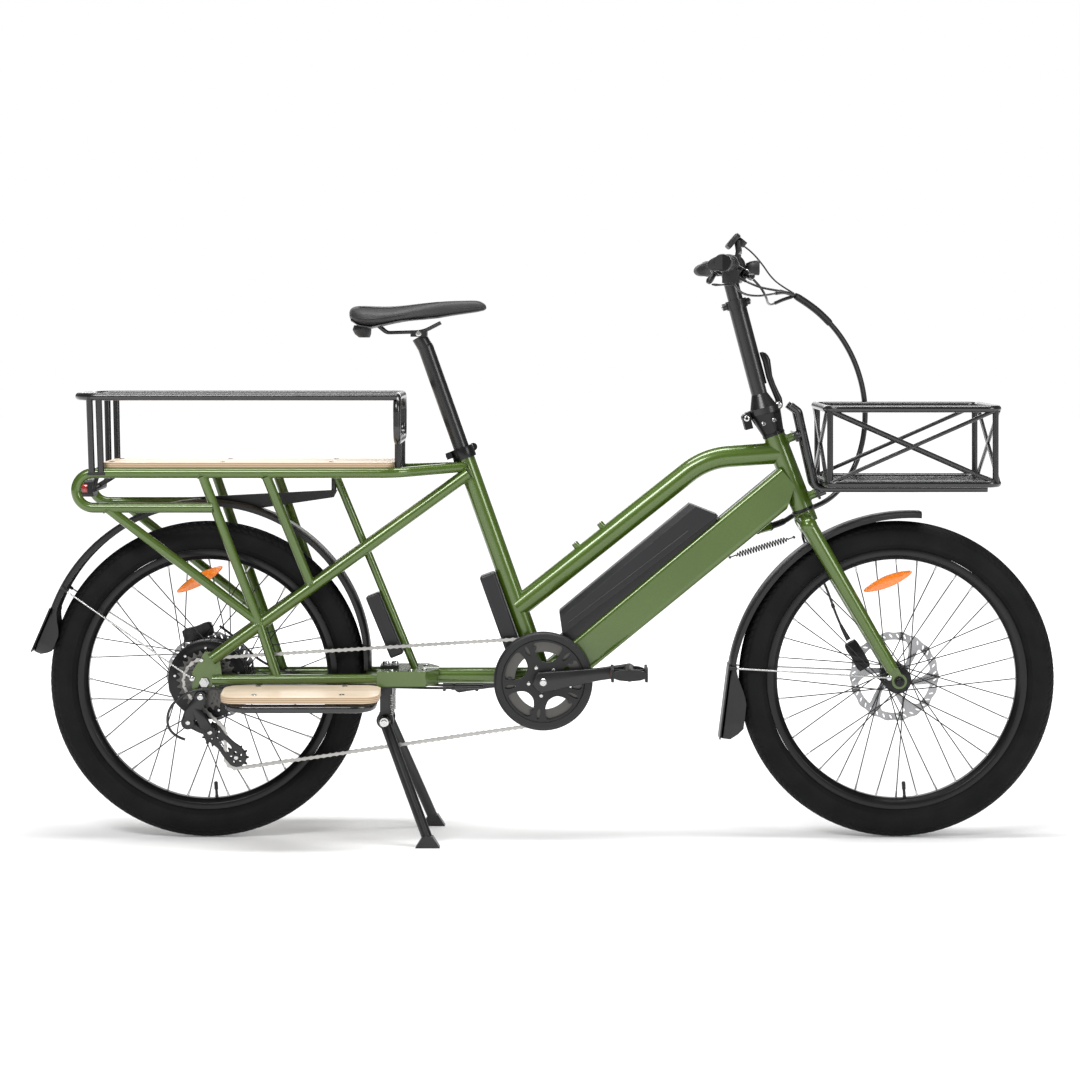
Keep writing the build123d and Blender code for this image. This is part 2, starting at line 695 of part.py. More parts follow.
def derailleur(around):
    """Hanger, knuckles, link body and the two cage plates, with the jockey pins."""
    y = CHAIN_Y
    shapes = [rod((-672, -86, 290), (-672, -75, 290), 9)]
    hanger = [(-690, 304), (-690, 280), (-676, 270), (-660, 280), (-662, 306)]
    shapes.append(side_plate(hanger, -75, -69))
    shapes.append(rod((-675, -80, 287), (-700, -72, 236), 12))
    shapes.append(rod((-700, -72, 236), (-658, -62, 216), 11))
    shapes.append(cross_rod(-655, 212, -66, y - 7.2, 12))
    for y0, y1 in ((y - 7, y - 5.2), (y + 5.2, y + 7)):
        outline = [(-666, 209), (-652, 224), (-638, 214), (-592, 168), (-592, 150)]
        outline += [(-608, 141), (-628, 150), (-630, 164), (-664, 200)]
        shapes.append(side_plate(outline, y0, y1))
    for centre in (JOCKEY_UPPER, JOCKEY_LOWER):
        shapes.append(cross_rod(centre.X, centre.Z, y - 5.2, y + 5.2, 4.0))
    return fitted(shapes, around)


# ----------------------------------------------------------------- fork and steering
def fork():
    """Steerer, crown, two tapered legs and their axle ends."""
    legs = []
    steerer = rod(HEAD_BOTTOM - HEAD_UP * 24, FOLD_PLANE - HEAD_UP * 14, STEERER_R)
    collar = rod(HEAD_BOTTOM - HEAD_UP * 30, HEAD_BOTTOM - HEAD_UP * 6.5, 21)
    shapes = [collar, steerer]
    leg_y = 56
    for side in (-1, 1):
        elbow = Vector(525, side * leg_y, 622)
        axle = Vector(FRONT_X, side * leg_y, AXLE_Z)
        down = (axle - elbow).normalized()
        end = axle - down * 26
        y0, y1 = sorted((side * 52, side * 60))
        disc = cross_rod(FRONT_X, AXLE_Z, y0, y1, 15)
        legs += [ball(elbow, 17.4), rod((520, side * 6, 631), elbow, 16.5)]
        legs.append(rod(elbow, end, 16.5, 12.5))
        tang = Plane(origin=end - down * 4, z_dir=down, x_dir=(0, 1, 0))
        legs += [disc, tang * Box(8, 22, 26, align=ON_BASE)]
    axle_hole = cross_rod(FRONT_X, AXLE_Z, -80, 80, 4.5)
    return drilled(fitted(shapes + legs), [axle_hole])


def stem_base():
    """Tapered base clamped on the steerer, with the lower half of the folding hinge."""
    foot = HEAD_TOP + HEAD_UP * 4.5
    top = FOLD_PLANE + HEAD_UP * 20
    cone = rod(foot, top, 22, 36)
    above = Plane(origin=FOLD_PLANE - POST_UP * 0.15, z_dir=POST_UP, x_dir=(0, 1, 0))
    cut = above * Box(160, 160, 60, align=ON_BASE)
    cone = cone - cut - rod(HEAD_TOP, FOLD_PLANE - HEAD_UP * 13.5, STEERER_R)
    hinge = FOLD_HINGE
    shapes = []
    for y0, y1 in ((-24, -12.2), (12.2, 24)):
        knuckle = cross_rod(hinge.X, hinge.Z, y0, y1, 9)
        neck = Plane(origin=hinge, z_dir=POST_UP * -1, x_dir=(0, 1, 0))
        web = neck * Pos((y0 + y1) / 2, 0, 0) * Box(y1 - y0, 16, 22, align=ON_BASE)
        shapes += [knuckle, web]
    pin = cross_rod(hinge.X, hinge.Z, -26, 26, 3.5)
    knuckle_room = cross_rod(hinge.X, hinge.Z, -12.2, 12.2, 9.6)
    lugs = [s - knuckle_room for s in fitted([pin] + shapes + [cone - knuckle_room])[1:]]
    return [pin] + lugs


def handlepost():
    """Hollow post with a flared foot, the upper half of the hinge and the top collar."""
    foot = FOLD_PLANE + POST_UP * 0.2
    flange = rod(foot, foot + POST_UP * 12, 33)
    flare = rod(foot + POST_UP * 12, foot + POST_UP * 40, 28, POST_R)
    post = rod(foot + POST_UP * 40, POST_TOP, POST_R)
    collar = rod(POST_TOP - POST_UP * 16, POST_TOP + POST_UP * 2, 21)
    lug_back = POST_TOP - POST_UP * 7
    lug = rod(lug_back - POST_FORE * 29, lug_back + POST_FORE * 27, 7)
    knuckle = cross_rod(FOLD_HINGE.X, FOLD_HINGE.Z, -11.9, 11.9, 8.8)
    bridge = Plane(origin=FOLD_HINGE, z_dir=POST_UP, x_dir=(0, 1, 0))
    web = bridge * Pos(0, -8, 0.4) * Box(23.8, 16, 11, align=ON_BASE)
    solids = fitted([flange, flare, collar, post, lug, knuckle, web])
    riser_bore = rod(POST_TOP - POST_UP * 190, POST_TOP + POST_UP * 5, RISER_R + RUN_FIT)
    pin_bore = cross_rod(FOLD_HINGE.X, FOLD_HINGE.Z, -30, 30, 3.55)
    ear_room = []
    for y0, y1 in ((-25, -12), (12, 25)):
        ear_room.append(cross_rod(FOLD_HINGE.X, FOLD_HINGE.Z, y0, y1, 9.6))
    latch_slot = Plane(origin=LATCH_PIVOT, z_dir=POST_UP, x_dir=(0, 1, 0))
    slot = latch_slot * Pos(0, 6, -12) * Box(24.6, 26, 60, align=ON_BASE)
    result = []
    for piece in solids:
        for cut in [riser_bore, pin_bore, slot] + ear_room:
            if touch(piece, cut):
                piece = piece - cut
        result += [s for s in piece.solids() if s.volume > 5]
    latch_pin = cross_rod(LATCH_PIVOT.X, LATCH_PIVOT.Z, -17, 17, 3)
    cheeks = []
    for y0, y1 in ((-17, -12.4), (12.4, 17)):
        cheek = cross_rod(LATCH_PIVOT.X, LATCH_PIVOT.Z, y0, y1, 8)
        cheeks.append(cheek)
    return fitted([latch_pin] + result + cheeks)


def stem_latch():
    """Long cam lever that lies up the front of the post."""
    pivot = LATCH_PIVOT
    barrel = cross_rod(pivot.X, pivot.Z, -12, 12, 7.5)
    up = POST_UP
    knee = pivot + up * 34 - POST_FORE * 3
    tip = pivot + up * 108 - POST_FORE * 4.5
    lower = rod(pivot + up * 2, knee, 6)
    upper = Plane(origin=knee, z_dir=tip - knee, x_dir=(0, 1, 0))
    blade = upper * Box(22, 9, (tip - knee).length, align=ON_BASE)
    blade = fillet(blade.edges().filter_by(Axis.Y, reverse=True), 2)
    solids = fitted([barrel, lower, blade])
    bore = cross_rod(pivot.X, pivot.Z, -20, 20, 3.05)
    return [s - bore if touch(s, bore) else s for s in solids]


def stem_riser():
    """Inner tube that slides in the post and ends in the handlebar clamp."""
    tube = rod(POST_TOP - POST_UP * 150, POST_TOP + POST_UP * 56, RISER_R)
    clamp = cross_rod(BAR_CENTRE.X, BAR_CENTRE.Z, -24, 24, 21)
    solids = fitted([clamp, tube])
    bar_bore = cross_rod(BAR_CENTRE.X, BAR_CENTRE.Z, -30, 30, BAR_R + 0.02)
    return [s - bar_bore if touch(s, bar_bore) else s for s in solids]


BAR_END_X = 341.0


def bar_point(y):
    """Centre of the handlebar at a distance y from the middle."""
    straight = 40.0
    over = max(0.0, abs(y) - straight)
    sweep_back = (BAR_CENTRE.X - BAR_END_X) * over / (BAR_HALF - straight)
    return Vector(BAR_CENTRE.X - sweep_back, y, BAR_CENTRE.Z)


def handlebar():
    points = [bar_point(-BAR_HALF + 6), bar_point(-40), bar_point(40), bar_point(BAR_HALF - 6)]
    return [bent(points, [60, 60], BAR_R)]


def grips():
    """Two grips, each with a palm rest at its outer end."""
    shapes = []
    for side in (-1, 1):
        start, end = bar_point(side * 200), bar_point(side * BAR_HALF)
        grip = rod(start, end, 16.5)
        palm_centre = bar_point(side * 285) + Vector(-17, 0, -3)
        palm = Pos(*palm_centre) * Rot(Z=side * 8) * Rot(Y=-12) * Box(30, 68, 14)
        palm = fillet(palm.edges(), 5)
        bar_room = rod(bar_point(side * 195), bar_point(side * (BAR_HALF - 5.9)), BAR_R)
        shapes += [s - bar_room for s in fitted([grip, palm])]
    return shapes


LEVER_DROP = 35.0
LEVER_OUT = Vector(math.cos(math.radians(LEVER_DROP)), 0, -math.sin(math.radians(LEVER_DROP)))
LEVER_UP = Vector(math.sin(math.radians(LEVER_DROP)), 0, math.cos(math.radians(LEVER_DROP)))


def lever_pivot(side):
    return bar_point(side * 158) + LEVER_OUT * 34


def bar_controls():
    """Display, brake lever clamps, shifter pod and throttle collar, fixed on the handlebar."""
    shapes = []
    for side in (-1, 1):
        clamp_at = bar_point(side * 165)
        clamp = rod(bar_point(side * 156), bar_point(side * 174), 15)
        pivot = lever_pivot(side)
        arm = Plane(origin=clamp_at + LEVER_OUT * 10, z_dir=LEVER_OUT, x_dir=(0, 1, 0))
        body = arm * Box(26, 18, 14, align=ON_BASE)
        ears = []
        for low in (-9.2, 5.4):
            start = pivot + LEVER_UP * low
            ears.append(rod(start, start + LEVER_UP * 3.8, 8))
        pin = rod(pivot - LEVER_UP * 9.2, pivot + LEVER_UP * 9.2, 2.5)
        neck_pieces = []
        for low in (-9.2, 5.4):
            base = clamp_at + LEVER_OUT * 22 + LEVER_UP * (low + 1.9)
            toward = pivot + LEVER_UP * (low + 1.9)
            neck_pieces.append(rod(base, toward, 1.9))
        boot = rod(bar_point(side * 140) + LEVER_OUT * 20, bar_point(side * 118) + LEVER_OUT * 52, 5)
        shapes += fitted([pin, clamp, body] + ears + neck_pieces + [boot])
    pod = rod(bar_point(-178), bar_point(-196), 19)
    pod_box = Pos(*(bar_point(-186) + Vector(4, 0, -24))) * Box(34, 22, 26)
    collar = rod(bar_point(178), bar_point(187.6), 17)
    shapes += fitted([pod, pod_box, collar])
    for side in (-1, 1):
        foot = BAR_CENTRE + Vector(0, side * 34, 0)
        band = cross_rod(foot.X, foot.Z, foot.Y - 5, foot.Y + 5, 15.5)
        arm = rod(foot, foot + Vector(-4, 0, 40), 4.5)
        shapes += fitted([band, arm])
    screen = Pos(BAR_CENTRE.X + 5, 0, BAR_CENTRE.Z + 50) * Rot(Y=-28) * Box(46, 84, 13)
    screen = fillet(screen.edges().filter_by(Axis.Z, reverse=True), 3)
    shapes.append(screen)
    light = Pos(BAR_CENTRE.X + 37, 0, BAR_CENTRE.Z - 4) * Box(26, 40, 30)
    shapes.append(light - cross_rod(BAR_CENTRE.X, BAR_CENTRE.Z, -30, 30, 22))
    bar_line = [bar_point(y) for y in (-BAR_HALF, -40, 40, BAR_HALF)]
    bar_room = bent(bar_line, [60, 60], BAR_R)
    result = []
    for piece in fitted(shapes):
        result += (piece - bar_room).solids() if touch(piece, bar_room) else [piece]
    return result


def brake_lever(side):
    """Blade that turns about its pivot towards the grip."""
    pivot = lever_pivot(side)
    hub = rod(pivot - LEVER_UP * 5, pivot + LEVER_UP * 5, 8)
    out_y = Vector(0, side, 0)
    knee = pivot + out_y * 30 + LEVER_OUT * 14
    tip = pivot + out_y * 112 + LEVER_OUT * 10
    first = rod(pivot, knee, 4.8)
    second = rod(knee, tip, 4.8)
    solids = fitted([hub, ball(knee, 4.8), first, second, ball(tip, 6)])
    bore = rod(pivot - LEVER_UP * 12, pivot + LEVER_UP * 12, 2.55)
    return [s - bore if touch(s, bore) else s for s in solids]


SHIFT_PIVOT = Vector(bar_point(-186).X + 4, -186, BAR_CENTRE.Z - 37.5)


def shift_lever():
    """Thumb lever under the shifter pod."""
    pivot = SHIFT_PIVOT
    hub = rod(pivot - Vector(0, 0, 5), pivot, 8)
    paddle = rod(pivot - Vector(0, 0, 2.5), pivot + Vector(-26, 22, -2.5), 2.4)
    pad = Pos(*(pivot + Vector(-28, 24, -2.5))) * Rot(Z=-40) * Box(18, 12, 5)
    return fitted([hub, pad, paddle])


THROTTLE_Y = 192.5


def throttle():
    """Thumb paddle on a ring that turns about the handlebar."""
    start, end = bar_point(188.2), bar_point(198.2)
    band = rod(start, end, 16) - rod(bar_point(180), bar_point(206), BAR_R + 0.08)
    centre = bar_point(THROTTLE_Y)
    paddle = Pos(*(centre + Vector(-16, -4, -22))) * Rot(Y=40) * Box(11, 16, 20)
    return fitted([band, paddle])


# --------------------------------------------------------------------- seat and post
SADDLE_CLAMP = Vector(-248, 0, 1008)


def seatpost():
    """Post with its set-back head, saddle clamp and the two saddle rails."""
    bottom = SEAT_TOP - SEAT_UP * 170
    top = SEAT_TOP + SEAT_UP * 222
    post = rod(bottom, top, SEATPOST_R)
    head = rod(top - SEAT_UP * 2, SADDLE_CLAMP - Vector(0, 0, 12), 15.4)
    cap = ball(top, 15.6)
    clamp = box(-264, -232, -27, 27, 996, 1009)
    shapes = []
    for side in (-1, 1):
        y = side * 22
        points = [(-330, y * 1.5, 1019), (-312, y, 1004), (-240, y, 1006), (-205, y * 0.8, 1024)]
        shapes += bent_runs(points, [14, 60], 3.5)
    return fitted(shapes + [post, cap, clamp, head])


def saddle():
    """Closed saddle body: a side outline cut to a plan outline."""
    side = [(-386, 1030), (-387, 1052), (-376, 1061), (-307, 1057), (-241, 1066), (-170, 1072)]
    side += [(-128, 1069), (-114, 1058), (-118, 1046), (-147, 1042), (-194, 1031)]
    side += [(-241, 1029), (-330, 1023.5), (-340, 1012), (-350, 1002), (-362, 992), (-375, 1004)]
    body = side_plate(side, -80, 80)
    half = [(-388, 30), (-372, 66), (-336, 76), (-296, 64), (-240, 34), (-180, 24), (-124, 20), (-113, 12)]
    outline = half + [(x, -y) for x, y in reversed(half)]
    face = make_face(Polyline(*[(x, y, 950) for x, y in outline], close=True))
    plan = extrude(face, amount=160, dir=(0, 0, 1))
    return fitted([body & plan])


def seat_clamp():
    """Split collar round the top of the seat tube, with its bolt lugs."""
    foot = SEAT_TOP - SEAT_UP * 13
    top = SEAT_TOP + SEAT_UP * 10
    collar = ring(foot, top, 23.5, SEAT_TUBE_R + 0.02)
    fore = square_to(SEAT_UP)
    middle = SEAT_TOP + SEAT_UP * 3
    back = middle - fore * 22
    lug = Plane(origin=back, z_dir=fore * -1, x_dir=(0, 1, 0))
    lug = lug * Box(20, 13, 12, align=ON_BASE)
    lug = lug - rod(foot, top, SEAT_TUBE_R + 0.02)
    pin_at = middle - fore * 28
    pin = rod(pin_at + Vector(0, -16, 0), pin_at + Vector(0, 14, 0), 3)
    nut = rod(pin_at + Vector(0, -16, 0), pin_at + Vector(0, -10.2, 0), 6.5)
    cam_pin = rod(SEAT_CAM - SEAT_UP * 6.5, SEAT_CAM + SEAT_UP * 6.5, 2.5)
    return fitted([cam_pin, pin, nut, collar, lug])


SEAT_CAM = SEAT_TOP + SEAT_UP * 3 - square_to(SEAT_UP) * 28 + Vector(0, 21, 0)


def seat_lever():
    """Quick release lever that wraps the left of the seat collar when it is closed."""
    fore = square_to(SEAT_UP)
    hub = rod(SEAT_CAM - SEAT_UP * 5.5, SEAT_CAM + SEAT_UP * 5.5, 6.5)
    knee = SEAT_CAM + fore * 14 + Vector(0, 7.5, 0)
    tip = SEAT_CAM + fore * 50 + Vector(0, 7.5, 0)
    first = rod(SEAT_CAM, knee, 4.5)
    blade = Plane(origin=knee, z_dir=fore, x_dir=(0, 1, 0))
    blade = blade * Box(6, 12, 36, align=ON_BASE)
    end = rod(tip - Vector(0, 2.8, 0), tip + Vector(0, 2.8, 0), 8)
    solids = fitted([hub, end, blade, first])
    bore = rod(SEAT_CAM - SEAT_UP * 8, SEAT_CAM + SEAT_UP * 8, 2.55)
    screw_room = rod(SEAT_CAM - Vector(0, 10, 0), SEAT_CAM - Vector(0, 2.5, 0), 3.2)
    result = []
    for piece in solids:
        result += (piece - bore - screw_room).solids()
    return [s for s in result if s.volume > 5]


# ----------------------------------------------------------------- stand and basket
def kickstand_mount(around):
    """Bracket under the yoke, with two cheeks that carry the stand's cross tube."""
    x, z = STAND_PIVOT.X, STAND_PIVOT.Z
    block = box(-322, -300, -26, 26, 250, 306.9)
    shapes = [block]
    for side in (-1, 1):
        y0, y1 = sorted((side * 26, side * 40))
        shapes.append(box(-324, -299, y0, y1, z, 306.9))
        shapes.append(cross_rod(x, z, y0, y1, 17))
    clamp = box(-322, -288, -22, 22, 336.1, 342)
    bolts = [rod((x0, 0, 342), (x0, 0, 348), 6) for x0 in (-314, -296)]
    solids = fitted(shapes + [clamp] + bolts, around)
    return drilled(solids, [cross_rod(x, z, -50, 50, 11.08)])


def kickstand():
    """Two splayed legs on a cross tube, with a wedge foot on each."""
    x, z = STAND_PIVOT.X, STAND_PIVOT.Z
    shapes = [cross_rod(x, z, -62, 62, 11)]
    for side in (-1, 1):
        top = Vector(x, side * 58, z)
        foot = Vector(STAND_FOOT_X, side * STAND_FOOT_Y, 10)
        pad = [(STAND_FOOT_X - 26, 0), (STAND_FOOT_X + 22, 0), (STAND_FOOT_X + 8, 22)]
        pad += [(STAND_FOOT_X - 12, 22)]
        y0, y1 = sorted((side * (STAND_FOOT_Y - 14), side * (STAND_FOOT_Y + 14)))
        shapes += [side_plate(pad, y0, y1), ball((x, side * 60, z), 11.5), rod(top, foot, STAND_LEG_R)]
    return fitted(shapes)


def basket():
    """Rectangular basket of round bar: two hoops, posts, crossed braces and floor slats."""
    x0, x1, half = BASKET_BACK + 6, BASKET_FRONT - 6, BASKET_HALF - 6
    shapes = []
    for z in (BASKET_RIM, BASKET_FLOOR):
        shapes += hoop([(x0, half, z), (x1, half, z), (x1, -half, z), (x0, -half, z)], 22, 7)
    corners = [(x0 + 6, half - 6), (x1 - 6, half - 6), (x1 - 6, 6 - half), (x0 + 6, 6 - half)]
    for x, y in corners:
        shapes.append(rod((x, y, BASKET_FLOOR), (x, y, BASKET_RIM), 6))
    low, high = BASKET_FLOOR + 4, BASKET_RIM - 4
    for y in (-half, half):
        shapes.append(rod((x0 + 10, y, low), (x1 - 10, y, high), 4))
        shapes.append(rod((x0 + 10, y, high), (x1 - 10, y, low), 4))
    for x in (x0, x1):
        shapes.append(rod((x, 10 - half, low), (x, half - 10, high), 4))
        shapes.append(rod((x, 10 - half, high), (x, half - 10, low), 4))
    for i in range(7):
        y = -half + (i + 1) * 2 * half / 8
        shapes.append(box(x0 + 3, x1 - 3, y - 7, y + 7, BASKET_FLOOR - 2, BASKET_FLOOR + 2))
    return fitted(shapes)


def basket_bracket(around):
    """Two bent tubes from the head tube bosses to under the basket floor."""
    shapes = []
    floor = BASKET_FLOOR - 7 - 7.5
    for y in (-45, 45):
        points = [(490, y, 860), (506, y, 848), (540, y, floor), (880, y, floor)]
        shapes += bent_runs(points, [10, 16], 7.5)
    fore = square_to(HEAD_UP)
    for height, reach in ((18, 34.2), (140, 34.2)):
        foot = HEAD_BOTTOM + HEAD_UP * height + fore * reach
        wall = Plane(origin=foot, z_dir=fore, x_dir=(0, 1, 0))
        shapes.append(wall * Box(104, 20, 5, align=ON_BASE))
        for y in (-45, 45):
            shapes.append(rod(foot + Vector(0, y, 0) + fore * 5, foot + Vector(0, y, 0) + fore * 18, 6))
    for x in (600, 860):
        shapes.append(cross_rod(x, floor, -45, 45, 5))
    return fitted(shapes, around)


# ------------------------------------------------------------------- electrical parts
BATTERY_ALONG = Vector(0.7945, 0, 0.6073)


def battery():
    """Battery case with bevelled upper edges."""
    outline = [(37.8, 405.4), (347.2, 642.1), (291, 664.5), (31.5, 450)]
    case = side_plate(outline, -38, 38)
    top = [e for e in case.edges() if abs(e.tangent_at(0).Y) < 0.01 and e.length > 250]
    upper = sorted(top, key=lambda e: e.center().Z)[-2:]
    return [chamfer(upper, 11)]


def battery_dock(around):
    """Rail plate between the down tube and the battery."""
    outline = [(24, 393), (37.8, 404.4), (347.4, 640.8), (330, 600), (90, 390), (50, 370)]
    return fitted([side_plate(outline, -26, 26)], around)


def controller(around):
    """Motor controller behind the seat tube, and the junction box on the brace."""
    fore = square_to(SEAT_UP)
    start = BOTTOM_BRACKET + SEAT_UP * 76 - fore * 36
    body = Plane(origin=start, z_dir=SEAT_UP, x_dir=(0, 1, 0))
    case = body * Box(52, 32, 158, align=ON_BASE)
    case = fillet(case.edges(), 5)
    brace = (Vector(-418, 0, RAIL_Z) - Vector(-256, 0, 336)).normalized()
    low = Vector(-256, 0, 336) + brace * 36
    back = Vector(-brace.Z, 0, brace.X)
    box_at = Plane(origin=low + back * 23, z_dir=brace, x_dir=(0, 1, 0))
    unit = box_at * Box(40, 28, 132, align=ON_BASE)
    unit = fillet(unit.edges(), 4)
    return fitted([case, unit], around)


def tail_light(around):
    """Lamp between the rails' rear loops, on its cross bar."""
    lamp = box(-918, -894, -32, 32, 678, 712)
    lamp = fillet(lamp.edges().filter_by(Axis.X), 6)
    bar = cross_rod(-886, 695, -72, 72, 5)
    arms = [rod((-886, side * 72, 695), (-880, side * 72, 722), 4) for side in (-1, 1)]
    arms = [rod((-894, 0, 695), (-850, 0, 722), 5), bar] + arms
    return fitted([lamp] + arms, around)


def frame_bearings():
    """Headset cups with their bearings, and the bottom bracket cups."""
    shapes = []
    inner = STEERER_R + RUN_FIT
    lower, upper = HEAD_BOTTOM, HEAD_TOP
    shapes.append(ring(lower + HEAD_UP * 12, lower, 16.95, inner))
    shapes.append(ring(lower, lower - HEAD_UP * 6, 23, inner))
    shapes.append(ring(upper - HEAD_UP * 12, upper, 16.95, inner))
    shapes.append(ring(upper, upper + HEAD_UP * 4, 23, inner))
    for side in (-1, 1):
        y0, y1 = side * 18, side * 36.5
        shapes.append(cross_rod(0, 315, *sorted((y0, y1)), 16.95) - cross_rod(0, 315, -50, 50, 8.55))
    return shapes


def rear_axle():
    """Motor axle with its nuts."""
    shapes = [cross_rod(REAR_X, AXLE_Z, -86, 88, 6)]
    for y0, y1 in ((-82, -74.1), (74.1, 82)):
        nut = Pos(REAR_X, y0, AXLE_Z) * Rot(X=-90) * extrude(RegularPolygon(10, 6), amount=y1 - y0)
        shapes.append(nut)
    return fitted(shapes)


def front_axle():
    """Front axle, its nuts and the two round covers."""
    x, z = FRONT_X, AXLE_Z
    shapes = [cross_rod(x, z, -70, 70, 4.5)]
    for y0, y1 in ((-67, -60.1), (60.1, 67)):
        shapes.append(cross_rod(x, z, y0, y1, 10))
    return fitted(shapes)


def caliper(centre, lean_degrees, disc_y, reach):
    """Caliper body with a slot for the disc, a pad screw and the hose banjo."""
    low, high = disc_y - 6, disc_y + 12
    body = Rot(Y=lean_degrees) * Box(30, high - low, 66)
    body = fillet(body.edges().filter_by(Axis.Y), 6)
    body = Pos(centre.X, (low + high) / 2, centre.Z) * body
    arm = Pos(centre.X, disc_y + 14, centre.Z) * Rot(Y=lean_degrees) * Box(22, 6, 84)
    axle_x, axle_z = reach
    slot = cross_rod(axle_x, axle_z, disc_y - 2, disc_y + 2, ROTOR_R + 2)
    knob = rod((centre.X, low - 1.5, centre.Z), (centre.X, low, centre.Z), 9)
    pieces = []
    for piece in fitted([body, arm, knob]):
        pieces += (piece - slot).solids()
    return pieces


def front_brake(around):
    centre = Vector(FRONT_X - 74, 0, AXLE_Z + 42)
    pieces = caliper(centre, -30, FRONT_ROTOR_Y, (FRONT_X, AXLE_Z))
    tab = rod((centre.X + 6, 53, centre.Z + 26), (centre.X + 44, 55, centre.Z - 1), 5)
    hose = bent(FRONT_HOSE_ROUTE, corner_radii(FRONT_HOSE_ROUTE), HOSE_R)
    return pieces + fitted([tab, hose], pieces + around)


def rear_brake(around):
    centre = Vector(REAR_X - 26, 0, AXLE_Z + 88)
    pieces = caliper(centre, 72, REAR_ROTOR_Y, (REAR_X, AXLE_Z))
    tab = rod((REAR_X - 2, 64, AXLE_Z + 56), (REAR_X - 16, 61, AXLE_Z + 80), 5)
    return pieces + fitted([tab], pieces + around)


SPRING_FRAME = Vector(372, 0, 556)
SPRING_FORK = Vector(500, 0, 596)


def steering_spring(around):
    """Centring spring from the down tube's eye to the fork crown."""
    run = (SPRING_FORK - SPRING_FRAME).normalized()
    coil = rod(SPRING_FRAME + run * 30, SPRING_FORK - run * 14, 7)
    hook = rod(SPRING_FRAME + run * 8, SPRING_FRAME + run * 30, 1.6)
    other = rod(SPRING_FORK - run * 14, SPRING_FORK, 1.6)
    return fitted([coil, hook, other], around)


REAR_SHIFT_ROUTE = [
    (-120, -12, 298), (-200, -20, 296), (-280, -48, 302), (-340, -58, 303), (-560, -58, 308),
    (-600, -73, 303), (-642, -86, 304), (-700, -92, 300), (-742, -84, 262), (-738, -80, 212),
    (-706, -76, 202),
]
REAR_HOSE_ROUTE = [
    (-120, 14, 298), (-220, 30, 296), (-330, 58, 304), (-440, 60, 304), (-560, 58, 330),
    (-620, 56, 392), (-652, 54, 414),
]
FRONT_HOSE_ROUTE = [
    (613, 44, 387), (600, 48, 410), (586, 56, 444), (568, 57, 496), (541, 57, 545),
    (524, 54, 584), (519, 44, 600), (522, 30, 612),
]
HOSE_R = 2.6


def frame_cables(around):
    """Shift housing and brake hose clipped under the frame and along the stays."""
    routes = (REAR_SHIFT_ROUTE, REAR_HOSE_ROUTE)
    return fitted([bent(route, corner_radii(route), HOSE_R) for route in routes], around)


LOOP_ROUTE = [
    (511, 118, 1079.3), (538, 136, 1064), (574, 157, 1036), (612, 180, 994), (642, 194, 940),
    (660, 201, 876), (662, 202, 812), (650, 199, 752), (624, 187, 700), (586, 156, 664),
    (546, 116, 648), (508, 78, 638), (480, 46, 622), (452, 22, 616),
]
LOOP_R = 6.5


def cable_loop():
    """Sleeved bundle from the handlebar past the basket to the down tube's underside."""
    return [bent(LOOP_ROUTE, corner_radii(LOOP_ROUTE), LOOP_R)]


RIGHT_HOSE_ROUTE = [
    (412.5, -118, 1107.7), (427, -107, 1094), (440, -74, 1074), (446, -26, 1062),
    (456, 24, 1060), (472, 70, 1066), (490, 100, 1073), (508, 116, 1077.8),
]
LEFT_HOSE_ROUTE = [
    (412.5, 118, 1107.7), (434, 103, 1097), (458, 100, 1092), (484, 107, 1088), (506, 119, 1081),
]
SHIFT_ROUTE = [
    (368, -175, 1106), (373, -163, 1096), (390, -124, 1080), (420, -74, 1076),
    (450, -16, 1080), (470, 40, 1084), (490, 82, 1086), (510, 113, 1081),
]
DISPLAY_ROUTE = [
    (392, 30, 1184), (412, 33, 1172), (438, 42, 1144), (458, 62, 1116), (480, 90, 1099),
    (508, 116, 1084.2),
]
CONTROL_ROUTES = [RIGHT_HOSE_ROUTE, LEFT_HOSE_ROUTE, SHIFT_ROUTE, DISPLAY_ROUTE]
CONTROL_R = 2.3


def control_cables(around):
    """Hoses, shift housing and display wire that meet at the upper end of the bundle."""
    cables = [bent(route, corner_radii(route), CONTROL_R) for route in CONTROL_ROUTES]
    return fitted(cables, around)


